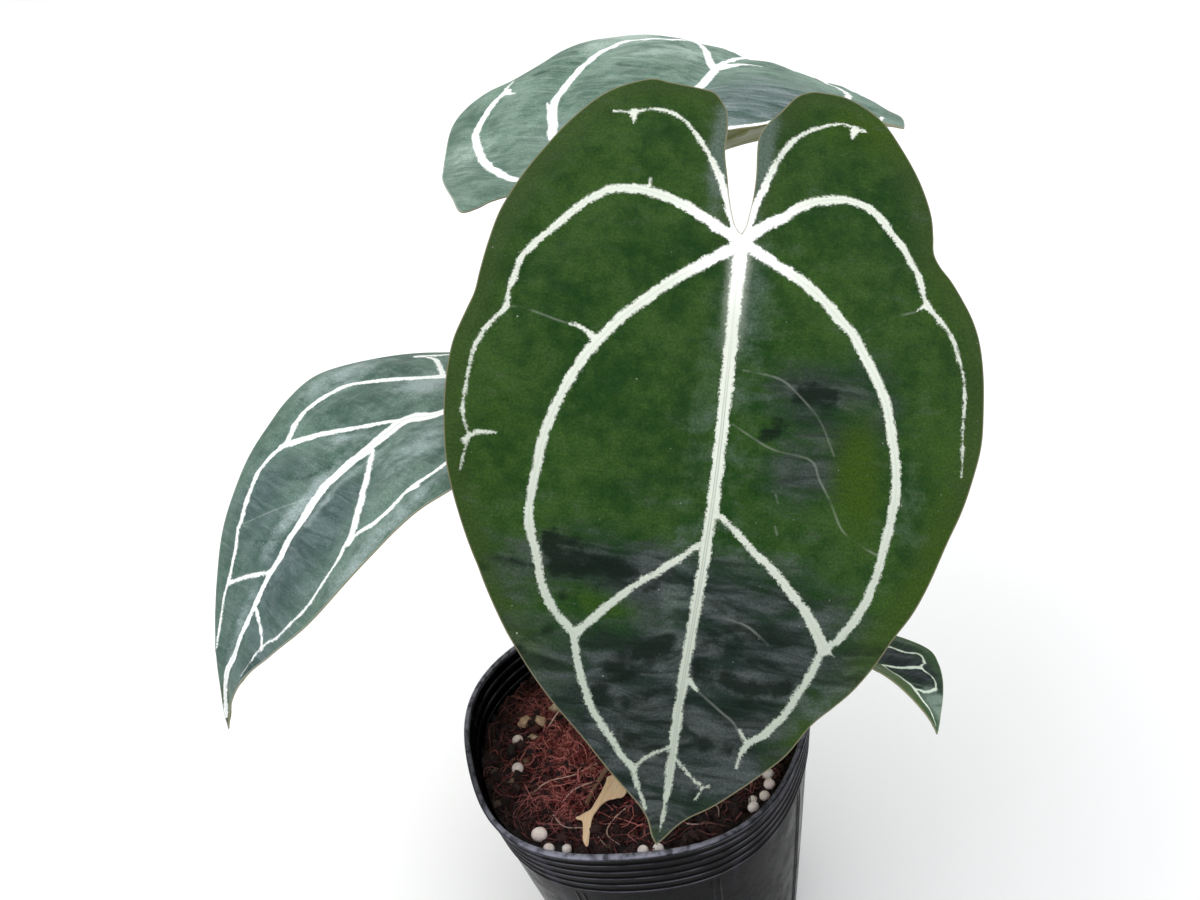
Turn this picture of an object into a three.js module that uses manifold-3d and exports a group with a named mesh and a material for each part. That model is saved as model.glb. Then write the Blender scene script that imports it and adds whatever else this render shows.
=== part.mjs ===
import * as THREE from 'three';
import { mergeVertices } from 'three/addons/utils/BufferGeometryUtils.js';
import Module from 'manifold-3d';

// A young velvet-leaved anthurium in a black plastic nursery pot.
// Millimetres, +Z up. The origin is the centre of the pot's base, on the surface it stands on.
// The front leaf faces -Y.

const wasm = await Module();
wasm.setup();

// Driving dimensions
const POT = {
  height: 100,
  rimRadius: 55,
  baseRadius: 40.5,
  wall: 1.0,
  floor: 1.4,
  lip: 0.9,
  ringCount: 5,
  ringPitch: 3.6,
  ringDepth: 0.45,
  ringTop: 95,
  sectors: 40,
  squeeze: 1.3,
  squeezeTurn: THREE.MathUtils.degToRad(137),
};
const DRAIN = { count: 5, radius: 4, circle: 27 };
const SOIL = { top: 90, fall: 0.1, bottom: 1.8, gap: 0.5, rings: 8 };
const STEM = { x: 6, y: 8, radius: 7.4, depth: 16, height: 17 };
const BLADE_THICKNESS = 0.8;
const RIB = { top: 0.3, under: 0.8 };
const CLEARANCE = 0.32;
const STALK_RADIUS = 2.1;
const KNEE_RADIUS = 2.9;

// Small helpers

// A fixed stream of numbers from 0 to 1, so that every build is the same.
function seededRandom(seed) {
  let state = seed;
  return () => {
    state = (state * 1664525 + 1013904223) % 4294967296;
    return state / 4294967296;
  };
}

function smoothStep(from, to, value) {
  const t = THREE.MathUtils.clamp((value - from) / (to - from), 0, 1);
  return t * t * (3 - 2 * t);
}

function signedVolume(position, index) {
  const [a, b, c] = [new THREE.Vector3(), new THREE.Vector3(), new THREE.Vector3()];
  let six = 0;
  for (let i = 0; i < index.count; i += 3) {
    a.fromBufferAttribute(position, index.getX(i));
    b.fromBufferAttribute(position, index.getX(i + 1));
    c.fromBufferAttribute(position, index.getX(i + 2));
    six += a.dot(b.cross(c));
  }
  return six / 6;
}

// Merged vertices, no empty triangles, faces pointing out.
function tidyGeometry(geometry) {
  const bare = geometry.clone();
  for (const name of Object.keys(bare.attributes)) {
    if (name !== 'position') bare.deleteAttribute(name);
  }
  const merged = mergeVertices(bare, 1e-3);
  const { position } = merged.attributes;
  const flip = signedVolume(position, merged.index) < 0;
  const corners = [];
  for (let i = 0; i < merged.index.count; i += 3) {
    const [a, b, c] = [0, 1, 2].map((k) => merged.index.getX(i + k));
    if (a === b || b === c || c === a) continue;
    corners.push(...(flip ? [a, c, b] : [a, b, c]));
  }
  merged.setIndex(corners);
  return merged;
}

function toSolid(geometry) {
  const tidy = tidyGeometry(geometry);
  return new wasm.Manifold(new wasm.Mesh({
    numProp: 3,
    vertProperties: new Float32Array(tidy.attributes.position.array),
    triVerts: new Uint32Array(tidy.index.array),
  }));
}

function fromSolid(solid) {
  const mesh = solid.getMesh();
  const geometry = new THREE.BufferGeometry();
  geometry.setAttribute('position', new THREE.BufferAttribute(new Float32Array(mesh.vertProperties), 3));
  geometry.setIndex(new THREE.BufferAttribute(new Uint32Array(mesh.triVerts), 1));
  return geometry;
}

// A cut can leave loose crumbs, so only the main body stays.
function mainBody(solid) {
  const bodies = solid.decompose();
  bodies.sort((one, other) => other.volume() - one.volume());
  return bodies[0];
}

function meshOf(name, geometry, material) {
  const tidy = tidyGeometry(geometry);
  tidy.computeVertexNormals();
  const mesh = new THREE.Mesh(tidy, material);
  mesh.name = name;
  return mesh;
}

function geometryFrom(vertices, faces) {
  const geometry = new THREE.BufferGeometry();
  geometry.setAttribute('position', new THREE.Float32BufferAttribute(vertices.flat(), 3));
  geometry.setIndex(faces.flat());
  return geometry;
}

// A round stalk along a smooth curve, closed at both ends. radiusAt takes 0 to 1 along it.
// extra makes it fatter and longer all round.
function stalk(points, radiusAt, steps, sides, extra = 0) {
  const path = new THREE.CatmullRomCurve3(points.map((p) => new THREE.Vector3(...p)), false, 'centripetal');
  const frames = path.computeFrenetFrames(steps, false);
  const vertices = [];
  const faces = [];
  const centreAt = (i) => {
    const push = { 0: -extra, [steps]: extra }[i] ?? 0;
    return path.getPointAt(i / steps).addScaledVector(frames.tangents[i], push);
  };
  for (let i = 0; i <= steps; i += 1) {
    const centre = centreAt(i);
    const radius = radiusAt(i / steps) + extra;
    for (let k = 0; k < sides; k += 1) {
      const angle = (2 * Math.PI * k) / sides;
      const point = centre.clone()
        .addScaledVector(frames.normals[i], radius * Math.cos(angle))
        .addScaledVector(frames.binormals[i], radius * Math.sin(angle));
      vertices.push(point.toArray());
      if (i === steps) continue;
      const [a, b] = [i * sides + k, i * sides + ((k + 1) % sides)];
      faces.push([a, b, b + sides], [a, b + sides, a + sides]);
    }
  }
  for (const [ring, turn] of [[0, 1], [steps, 0]]) {
    const centre = vertices.length;
    vertices.push(centreAt(ring).toArray());
    for (let k = 0; k < sides; k += 1) {
      const [a, b] = [ring * sides + k, ring * sides + ((k + 1) % sides)];
      faces.push(turn ? [centre, b, a] : [centre, a, b]);
    }
  }
  return geometryFrom(vertices, faces);
}

// Pot

// The soft pot is not quite round: its side swells and dips five times, most at the rim.
function squeezeAt(angle, z) {
  return POT.squeeze * Math.cos(5 * (angle + POT.squeezeTurn)) * (z / POT.height) ** 2;
}

function potRadiusAt(z) {
  return POT.baseRadius + (POT.rimRadius - POT.baseRadius) * (z / POT.height);
}

function potWallPoints(inset) {
  const rings = [];
  for (let i = 0; i < POT.ringCount; i += 1) {
    const z = POT.ringTop - (POT.ringCount - 1 - i) * POT.ringPitch;
    rings.push([potRadiusAt(z - POT.ringPitch / 2) - inset, z - POT.ringPitch / 2]);
    rings.push([potRadiusAt(z) - inset + POT.ringDepth, z]);
  }
  return rings;
}

function potGeometry() {
  const lipZ = POT.height - 2.2;
  const outer = [
    [0, 0],
    [POT.baseRadius - 1.5, 0],
    [potRadiusAt(1.5), 1.5],
    [potRadiusAt(40), 40],
    ...potWallPoints(0),
    [potRadiusAt(lipZ), lipZ],
    [POT.rimRadius + POT.lip, lipZ + 0.8],
    [POT.rimRadius + POT.lip, POT.height],
  ];
  const inner = [
    [0, POT.floor],
    [potRadiusAt(POT.floor) - POT.wall - 0.8, POT.floor],
    [potRadiusAt(4) - POT.wall, 4],
    [potRadiusAt(40) - POT.wall, 40],
    ...potWallPoints(POT.wall),
    [potRadiusAt(lipZ) - POT.wall, lipZ],
    [POT.rimRadius - POT.wall, POT.height],
  ];
  const profile = [...outer, ...inner.reverse()].map(([r, z]) => new THREE.Vector2(r, z));
  const geometry = new THREE.LatheGeometry(profile, POT.sectors).rotateX(Math.PI / 2);
  const { position } = geometry.attributes;
  for (let i = 0; i < position.count; i += 1) {
    const [x, y, z] = [position.getX(i), position.getY(i), position.getZ(i)];
    const radius = Math.hypot(x, y);
    if (radius < 1) continue;
    const grow = 1 + squeezeAt(Math.atan2(y, x), z) / radius;
    position.setXY(i, x * grow, y * grow);
  }
  return geometry;
}

function buildPot() {
  let solid = toSolid(potGeometry());
  for (let i = 0; i < DRAIN.count; i += 1) {
    const angle = (2 * Math.PI * i) / DRAIN.count;
    const hole = new THREE.CylinderGeometry(DRAIN.radius, DRAIN.radius, 3 * POT.floor, 12)
      .rotateX(Math.PI / 2)
      .translate(DRAIN.circle * Math.cos(angle), DRAIN.circle * Math.sin(angle), POT.floor / 2);
    solid = solid.subtract(toSolid(hole));
  }
  return fromSolid(solid);
}

// Soil

// The mix is higher at the front of the pot, and lumpy.
function groundAt(x, y) {
  const lumps = 1.0 * Math.sin(0.35 * x + 1.1) * Math.cos(0.31 * y - 0.4)
    + 0.6 * Math.sin(0.73 * x - 0.52 * y + 2.1)
    + 0.5 * Math.sin(1.21 * x + 0.9 * y);
  return SOIL.top - SOIL.fall * y + lumps;
}

function soilGeometry() {
  const wallLevels = [SOIL.bottom, 40, 76];
  const profile = [new THREE.Vector2(0, SOIL.bottom)];
  for (const z of wallLevels) profile.push(new THREE.Vector2(potRadiusAt(z), z));
  for (let ring = SOIL.rings; ring >= 0; ring -= 1) {
    profile.push(new THREE.Vector2((potRadiusAt(SOIL.top) * ring) / SOIL.rings, SOIL.top));
  }
  const geometry = new THREE.LatheGeometry(profile, POT.sectors).rotateX(Math.PI / 2);
  const { position } = geometry.attributes;
  for (let i = 0; i < position.count; i += 1) {
    const [x, y, z] = [position.getX(i), position.getY(i), position.getZ(i)];
    const radius = Math.hypot(x, y);
    const onTop = Math.abs(z - SOIL.top) < 0.01;
    const level = onTop ? groundAt(x, y) : z;
    const share = radius / potRadiusAt(z);
    const floorGap = z < 3 ? 1.2 : 0;
    const reach = potRadiusAt(level) + squeezeAt(Math.atan2(y, x), level) - POT.wall - SOIL.gap - floorGap;
    const scale = radius < 0.01 ? 0 : (share * reach) / radius;
    position.setXYZ(i, x * scale, y * scale, level);
  }
  return geometry;
}

// Coir fibres arch out of the mix and back into it.
function coirFibres(random) {
  const fibres = [];
  const count = 14;
  for (let i = 0; i < count; i += 1) {
    const turn = 2 * Math.PI * random();
    const reach = 14 + 26 * Math.sqrt(random());
    const heading = 2 * Math.PI * random();
    const half = 5 + 4 * random();
    const [cx, cy] = [reach * Math.cos(turn), reach * Math.sin(turn)];
    const points = [-1, -0.4, 0.4, 1].map((s) => {
      const [x, y] = [cx + s * half * Math.cos(heading), cy + s * half * Math.sin(heading)];
      return [x, y, groundAt(x, y) + (Math.abs(s) === 1 ? -1.6 : 1.4)];
    });
    fibres.push(stalk(points, () => 0.5, 5, 4));
  }
  return fibres;
}

// What lies on the mix

const PRILLS = [
  [-39.3, 8.1, 1.8], [-39.9, -4.7, 1.9], [34.5, -31, 1.9], [34, -36.2, 1.7], [28.2, -38.5, 1.6],
  [27.6, -42.8, 1.7], [31.6, -39.6, 1.6], [-5.8, -49, 1.7], [-1.5, -49.3, 1.7], [-32.3, -40.6, 1.7],
  [-27.4, -40.9, 1.6], [-34.5, -35.6, 2.3],
];
const CHIPS = [[-36.3, 16.9, 0.6], [-31, 14.6, 1.9], [-33.6, 9.3, 2.6], [-25.6, 20.8, 0.2]];

function prillGeometry([x, y, radius], extra) {
  const sink = 0.35 * radius;
  return new THREE.IcosahedronGeometry(radius + extra, 1).translate(x, y, groundAt(x, y) + sink);
}

function chipGeometry([x, y, turn], extra) {
  return new THREE.IcosahedronGeometry(1, 0)
    .scale(2.6 + extra, 1.7 + extra, 1.1 + extra)
    .rotateX(0.5)
    .rotateZ(turn)
    .translate(x, y, groundAt(x, y) + 0.5);
}

// The dry bract is a thin papery blade, broad at one end and forked at the other. It lies arched
// across the lumps. Its outline is seen from above and runs clockwise.
const BRACT = {
  outline: [
    [-9.3, -17.5], [-8.2, -21.6], [-7.2, -26.6], [-8.9, -29.3], [-11.9, -29.1], [-14.6, -30],
    [-16.9, -32.4], [-18.6, -34.9], [-19.6, -38.5], [-21.1, -43], [-22.1, -41.3], [-21.7, -37.5],
    [-21.5, -34.9], [-23.2, -33], [-20.8, -32.4], [-18.4, -31.4], [-16.6, -28.6], [-14.8, -25.3],
    [-13, -21], [-12.2, -18],
  ],
  from: [-11, -17.5],
  to: [-21.2, -43],
  thickness: 0.7,
  lie: 1.2,
  arch: 2.2,
};

// extra is how far the outline and both faces grow.
function bractGeometry(extra) {
  const { outline, from, to } = BRACT;
  const half = BRACT.thickness / 2 + extra;
  const [dx, dy] = [to[0] - from[0], to[1] - from[1]];
  const top = [];
  const under = [];
  outline.forEach((point, i) => {
    const before = outline[(i + outline.length - 1) % outline.length];
    const after = outline[(i + 1) % outline.length];
    const [wx, wy] = [after[0] - before[0], after[1] - before[1]];
    const reach = extra / Math.hypot(wx, wy);
    const x = point[0] - wy * reach;
    const y = point[1] + wx * reach;
    const t = Math.min(1, Math.max(0, ((x - from[0]) * dx + (y - from[1]) * dy) / (dx * dx + dy * dy)));
    const z = SOIL.top - SOIL.fall * y + BRACT.lie + BRACT.arch * Math.sin(Math.PI * t);
    top.push([x, y, z + half]);
    under.push([x, y, z - half]);
  });
  const flat = outline.map(([x, y]) => new THREE.Vector2(x, y));
  const count = outline.length;
  const faces = [];
  for (const [a, b, c] of THREE.ShapeUtils.triangulateShape(flat, [])) {
    const turn = flat[b].clone().sub(flat[a]).cross(flat[c].clone().sub(flat[a]));
    const up = turn > 0 ? [a, b, c] : [a, c, b];
    faces.push(up, [up[0] + count, up[2] + count, up[1] + count]);
  }
  for (let i = 0; i < count; i += 1) {
    const j = (i + 1) % count;
    faces.push([j, j + count, i + count], [j, i + count, i]);
  }
  return geometryFrom([...top, ...under], faces);
}

// Leaves
// A leaf is drawn flat first. u is millimetres to the right of the midrib, seen from above and
// looking at the tip, and v is millimetres from the stalk towards the tip. Then it is bent.

const FRONT_FLAT = {
  right: [
    [0.6, -1.6], [3, -5], [6, -16], [7.5, -28], [9, -39], [14, -44], [22, -44.5], [30, -45], [39, -41.5],
    [47, -34], [54, -24], [60, -14], [65, -2], [68, 12], [69, 24], [72, 36], [73, 48], [71, 62],
    [67, 76], [59, 93], [50, 107], [39, 121], [26, 134], [14, 145], [6, 152.5], [2, 160],
  ],
  left: [
    [-0.5, -3.5], [-1.5, -12], [-1.5, -22], [-1.5, -29], [-4, -35.5], [-9, -44], [-14.5, -48.5],
    [-22, -49], [-31, -45.5], [-38, -39], [-45, -28.5], [-50, -17], [-51.8, -7], [-54, -1.5],
    [-60, 5], [-65, 13], [-69, 27], [-70, 42], [-68, 58], [-64, 73], [-58, 89], [-49, 106],
    [-40, 118.5], [-30, 132.5], [-20, 142.5], [-9, 152], [-3, 159],
  ],
  veins: {
    midrib: [[0, 0], [0, 14], [-0.5, 37], [-1.3, 65], [-1, 85], [-0.3, 105], [0, 124], [-0.6, 144], [-0.6, 156]],
    innerRight: [
      [1.5, 2.5], [12.5, 11], [23, 20.5], [32, 30.5], [38, 40], [43, 54], [45, 68], [45, 80], [42, 91],
      [36, 103], [30, 109.5], [26, 120], [20, 131], [11, 140.5], [8, 146], [4, 154],
    ],
    innerLeft: [
      [-2.5, 2], [-14.5, 8.5], [-26, 17], [-36, 28.5], [-42.5, 39.5], [-46.5, 53.5], [-47.5, 66],
      [-45.5, 83], [-41, 96.5], [-34.5, 105], [-31, 114], [-26, 124.5], [-19, 131.5], [-17, 138],
    ],
    outerRight: [
      [1, 0], [13, -5.5], [25, -9.5], [33, -10], [42, -5.5], [50, 3.5], [57.5, 13], [59.5, 26],
      [65, 35.5], [66.5, 48], [64, 62], [64.5, 70],
    ],
    outerLeft: [
      [-1.5, -0.5], [-10, -7.5], [-21, -14.5], [-30, -15.3], [-38, -10], [-46, -0.5], [-50.5, 10],
      [-59, 19], [-63, 29], [-64, 42], [-64, 54],
    ],
    lobeRight: [[1.5, -1.5], [6, -11.5], [12, -23.5], [20, -33], [29, -35], [38, -33]],
    lobeLeft: [[-1, -2.5], [-4, -14.5], [-8.5, -27], [-17.5, -36.5], [-30, -37.5]],
    branches: [
      [[-0.5, 81], [11.5, 91.5], [21, 100], [30, 109.5]],
      [[-1.4, 73], [-13, 82], [-25, 92], [-34.5, 105]],
      [[0, 135], [9, 142]],
      [[-0.5, 136.5], [-9.5, 144.5]],
    ],
  },
};

const LEFT_FLAT = {
  right: [
    [0.6, -1.5], [4, -9], [6, -22], [8, -33], [14, -39], [23, -39.5], [32, -35], [40, -25], [45, -12],
    [49.5, 0], [55, 9], [60, 20], [65, 31.5], [67.5, 42.5], [63.5, 54.5], [56.5, 66], [50.5, 78],
    [44.5, 88], [37.5, 98.5], [28.5, 109.5], [20.5, 119], [12.5, 126.5], [6, 134.5], [2.5, 141.5],
  ],
  left: [
    [-0.5, -3], [-1.5, -12], [-2, -24], [-6, -36], [-13, -43], [-23, -43], [-33, -38], [-41, -28],
    [-46, -14], [-50, -2], [-56, 8], [-60, 20], [-62, 34], [-61, 48], [-58, 60], [-53.5, 69],
    [-51, 80], [-48, 91.5], [-43, 100], [-36, 108], [-25.5, 116.5], [-16, 124], [-10, 131], [-4.5, 139.5],
  ],
  veins: {
    midrib: [[0, 0], [-1, 15], [-1, 30], [2, 43], [2, 60], [1.5, 76], [-1, 90], [-1.5, 104], [0, 122], [1, 138]],
    innerRight: [
      [1.5, 2.5], [11, 8], [22, 16], [32, 25.5], [43, 35.5], [48, 46], [47, 57], [41, 66], [39, 76],
      [34, 87.5], [27, 97], [20, 107], [15.5, 118], [10, 127],
    ],
    innerLeft: [
      [-2.5, 2], [-13, 8], [-24, 17], [-33, 28], [-39, 40], [-42, 52], [-40.5, 62], [-40, 73], [-35.5, 82],
      [-36.5, 92], [-34.5, 101], [-27.5, 109], [-18, 117], [-11, 126],
    ],
    outerRight: [[1, 0], [12, -5], [24, -9], [35, -7], [43, 0], [48, 8], [50.5, 14]],
    outerLeft: [[-1.5, -0.5], [-9, -7], [-19, -13], [-29, -13], [-38, -6], [-44, 4], [-50, 16], [-54, 30], [-54, 44]],
    lobeRight: [[1.5, -1.5], [6, -12], [13, -24], [22, -30], [31, -28]],
    lobeLeft: [[-1, -2.5], [-5, -15], [-12, -28], [-22, -33], [-30, -30]],
    branches: [
      [[2, 41], [17, 53], [29, 61], [39.5, 70]],
      [[2, 55], [-12, 66], [-27, 77], [-35.5, 83]],
      [[-1, 110], [-14, 115.5], [-19, 116.5]],
      [[-1, 101], [9, 105], [18.5, 110]],
      [[28, 21], [38, 12], [48, 11]],
    ],
  },
};

const BACK_FLAT = {
  right: [
    [0.6, -1.6], [4, -9], [8.5, -19], [15, -27], [23, -31], [33, -31.5], [42, -28], [48, -19.5],
    [55, -12], [63, -2], [69, 12], [71, 26], [73, 40], [72, 55], [69, 69], [64, 82], [56, 97],
    [46, 111], [35, 124], [23, 137], [12, 149], [4, 160],
  ],
  left: [
    [-0.5, -3], [-1.5, -12], [-3, -22], [-9, -31], [-16, -34], [-22, -37], [-26, -45], [-30, -50], [-39, -40],
    [-53, -20.5], [-68, 5], [-77, 27], [-78, 41], [-73, 52], [-66.5, 60], [-62, 70], [-59, 82], [-53, 95],
    [-45, 108], [-34, 122], [-22, 136], [-11, 149], [-4, 160],
  ],
  veins: {
    midrib: [[0, 0], [1, 20], [3, 40], [4, 54], [3, 69], [1.5, 81], [1, 95], [0, 120], [0, 150], [0, 160]],
    innerRight: [
      [1.5, 2.5], [12, 8.5], [21, 14], [29, 19], [36, 24.5], [42, 34], [46, 45], [48, 60], [49, 75], [46, 88],
      [39, 100], [31, 111], [25, 124], [14, 138], [6, 151],
    ],
    innerLeft: [
      [-2.5, 2], [-15, 5], [-27, 9], [-34, 21], [-40, 35], [-42, 50], [-42.5, 68], [-40, 84], [-35, 98],
      [-28, 109], [-22, 122], [-14, 137], [-6, 151],
    ],
    outerRight: [[1, 0], [13, -5.5], [26, -9.5], [37, -8], [46, -1], [53, 9], [58, 19], [61, 30], [64.5, 42], [64, 58]],
    outerLeft: [
      [-1.5, -0.5], [-8, -9], [-16, -18], [-25, -22], [-34, -17], [-45, -6.5], [-55.5, 7.5], [-62.5, 19],
      [-65.5, 32], [-65.5, 44], [-64.5, 50],
    ],
    lobeRight: [[1.5, -1.5], [6, -12], [13, -25], [21, -34], [32, -35]],
    lobeLeft: [[-1, -2.5], [-5, -12], [-11, -22]],
    branches: [
      [[1.5, 80], [-8, 92], [-18, 102], [-28, 109]],
      [[2, 79], [8, 88], [17, 100], [31, 111]],
      [[0, 138], [9, 144]],
      [[0, 139], [-9, 146]],
    ],
  },
};

const SMALL_FLAT = {
  right: [
    [0.3, -0.7], [1.5, -3], [2, -8], [3, -12.5], [6, -14], [10, -13], [14, -9], [17, -4], [19, 2],
    [20.5, 8], [21, 14], [20.5, 20], [19, 26], [16, 31.5], [12, 37], [7, 42.5], [2.5, 47],
  ],
  left: [
    [-0.3, -1.4], [-0.8, -5], [-1, -9], [-3, -13], [-6, -15], [-10, -14], [-14, -10], [-16.5, -4],
    [-18.5, 1], [-20.5, 8], [-21.5, 15], [-21, 22], [-20.5, 28], [-17.5, 32], [-13.5, 36], [-8.5, 40.5],
    [-4, 45], [-1.3, 48.5],
  ],
  veins: {
    midrib: [[0, 0], [0, 15], [1, 28], [0.5, 38], [0, 46]],
    innerRight: [[0.8, 0.8], [6, 5], [11, 12], [14, 20], [13.5, 27], [10, 33], [6, 39]],
    innerLeft: [[-0.8, 0.8], [-6, 5], [-11, 12], [-14, 20], [-15, 27], [-12, 31], [-9.5, 35], [-6, 39.5]],
    outerRight: [[0.5, 0], [6, -3.5], [11, -2], [15, 3], [17.5, 10], [18, 17]],
    outerLeft: [[-0.5, 0], [-6, -3.5], [-11, -2.5], [-15, 3], [-17.5, 10], [-18.5, 17]],
    lobeRight: [],
    lobeLeft: [],
    branches: [[[0.8, 24], [-4, 29], [-10, 31.5]], [[1, 32], [-4, 35], [-8.5, 37]], [[0.8, 25], [6, 30], [11, 32]]],
  },
};

// How each flat leaf is bent. Angles are in degrees.
// heading turns about +Z from +X, pitch is how far the midrib points down where it starts, arch is how
// far it bends down from there to the tip, and archPower says how late. Each side folds up along the
// midrib and then curls, in degrees over 70 mm. lift raises a lobe's corner, lip the sinus edges.
const LEAVES = {
  front: {
    flat: FRONT_FLAT, scale: 1, grain: 1, at: [57.6, 24.5, 237.2],
    heading: 243.5, pitch: 37.9, roll: 22.5, length: 163.4, arch: 28, archPower: 1.2, sweep: 0, twist: 0,
    lobeDroop: 8, foldLeft: 4, foldRight: 4, curlLeft: -16, curlRight: -16, liftLeft: 0, liftRight: 0,
    tipFold: 22, lip: 4, stalk: [[10.1, 8.7, 96], [20, 9, 140], [40, 21, 195], [54, 31, 224]],
  },
  left: {
    flat: LEFT_FLAT, scale: 1.08, grain: 1, at: [-8.6, 77.7, 178],
    heading: 209.5, pitch: -21.2, roll: -8.1, length: 146.4, arch: 86, archPower: 1.14, sweep: 0, twist: -2.5,
    lobeDroop: 0, foldLeft: 5, foldRight: 1, curlLeft: 5, curlRight: 2, liftLeft: 0, liftRight: 0,
    tipFold: 15, lip: 3, stalk: [[1.9, 7.6, 96], [-2, 28, 124], [-9, 60, 156], [-11, 72, 166]],
  },
  back: {
    flat: BACK_FLAT, scale: 1.07, grain: 1, at: [37.9, 99.6, 239.8],
    heading: 60, pitch: -1.2, roll: -2, length: 167, arch: 44, archPower: 1.95, sweep: 2, twist: -26.5,
    lobeDroop: -3, foldLeft: 1.5, foldRight: 5, curlLeft: -18.7, curlRight: -14.4, liftLeft: 6.3,
    liftRight: 27.5, tipFold: 15, lip: 0, stalk: [[5.3, 12.3, 96], [38, 27, 132], [56, 46, 172], [47, 84, 218]],
  },
  right: {
    flat: SMALL_FLAT, scale: 1, grain: 0.5, at: [51.7, -16.5, 120.8],
    heading: -29, pitch: -21.5, roll: 37.6, length: 50.3, arch: 82.5, archPower: 1.6, sweep: 11.5, twist: 10.3,
    lobeDroop: 0, foldLeft: 16.6, foldRight: 11.3, curlLeft: -3, curlRight: -11, liftLeft: 0, liftRight: 0,
    tipFold: 0, lip: 0, stalk: [[6.7, 4, 96], [24, -8, 110], [43, -20, 112.5], [50, -21, 115]],
  },
};
const CURL_SPAN = 70;
const LOBE_SPAN = 50;
const LOBE_REACH = 70;

// Walks the midrib in 1 mm steps and keeps a place and three axes at each.
function midribFrames(leaf) {
  const { degToRad } = THREE.MathUtils;
  const [p, a, r] = [leaf.pitch, leaf.heading, leaf.roll].map(degToRad);
  const forward = new THREE.Vector3(Math.cos(p) * Math.cos(a), Math.cos(p) * Math.sin(a), -Math.sin(p));
  const level = new THREE.Vector3(Math.sin(a), -Math.cos(a), 0);
  const above = level.clone().cross(forward);
  const side = level.clone().multiplyScalar(Math.cos(r)).addScaledVector(above, Math.sin(r));
  const up = level.clone().multiplyScalar(-Math.sin(r)).addScaledVector(above, Math.cos(r));
  const frames = new Map();
  const turn = (one, other, angle) => {
    const first = one.clone();
    one.multiplyScalar(Math.cos(angle)).addScaledVector(other, Math.sin(angle));
    other.multiplyScalar(Math.cos(angle)).addScaledVector(first, -Math.sin(angle));
  };
  const steps = Math.ceil(leaf.length * 1.05);
  for (const [sign, last] of [[1, steps], [-1, LOBE_REACH]]) {
    const place = new THREE.Vector3(...leaf.at);
    const [t, s, n] = [forward.clone(), side.clone(), up.clone()];
    for (let i = 0; i <= last; i += 1) {
      frames.set(sign * i, { place: place.clone(), t: t.clone(), s: s.clone(), n: n.clone() });
      const share = (i + 0.5) / leaf.length;
      const archRate = (leaf.arch * leaf.archPower * share ** (leaf.archPower - 1)) / leaf.length;
      turn(n, t, sign > 0 ? degToRad(archRate) : -degToRad(leaf.lobeDroop) / LOBE_SPAN);
      if (sign > 0) turn(t, s, degToRad(leaf.sweep) / leaf.length);
      if (sign > 0) turn(s, n, degToRad(leaf.twist) / leaf.length);
      place.addScaledVector(t, sign);
    }
  }
  return frames;
}

// The bent place of a flat point, and the way its upper face points.
function leafForm(leaf) {
  const frames = midribFrames(leaf);
  const { degToRad, clamp, lerp } = THREE.MathUtils;
  const middle = (u, v) => {
    const low = clamp(Math.floor(v), -LOBE_REACH, Math.ceil(leaf.length * 1.05) - 1);
    const [one, two] = [frames.get(low), frames.get(low + 1)];
    const mix = v - low;
    const share = clamp(v / leaf.length, 0, 1);
    const [fold, curl, lift] = u < 0
      ? [leaf.foldLeft, leaf.curlLeft, leaf.liftLeft]
      : [leaf.foldRight, leaf.curlRight, leaf.liftRight];
    const tilt = degToRad(fold + leaf.tipFold * smoothStep(0.8, 1, share));
    const rate = degToRad(curl) / CURL_SPAN;
    const reach = Math.abs(u);
    const across = (Math.sin(tilt + rate * reach) - Math.sin(tilt)) / rate;
    const rise = (Math.cos(tilt) - Math.cos(tilt + rate * reach)) / rate;
    const corner = clamp((reach - v - 10) / 75, 0, 1.3) ** 2 * clamp(reach / 15, 0, 1);
    const sinus = clamp(-v / 30, 0, 1) * Math.exp(-((Math.max(0, reach - 2) / 7) ** 2));
    const height = rise + lift * corner + leaf.lip * sinus;
    const blend = (key) => one[key].clone().lerp(two[key], mix);
    return blend('place')
      .addScaledVector(blend('s'), Math.sign(u) * across)
      .addScaledVector(blend('n'), height);
  };
  const facing = (u, v) => {
    const eps = 0.4;
    const alongU = middle(u + eps, v).sub(middle(u - eps, v));
    const alongV = middle(u, v + eps).sub(middle(u, v - eps));
    return alongU.cross(alongV).normalize();
  };
  const start = new THREE.Vector3(...leaf.at);
  return (u, v, height) => middle(u, v).sub(start).multiplyScalar(leaf.scale).add(start)
    .addScaledVector(facing(u, v), height);
}

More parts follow.
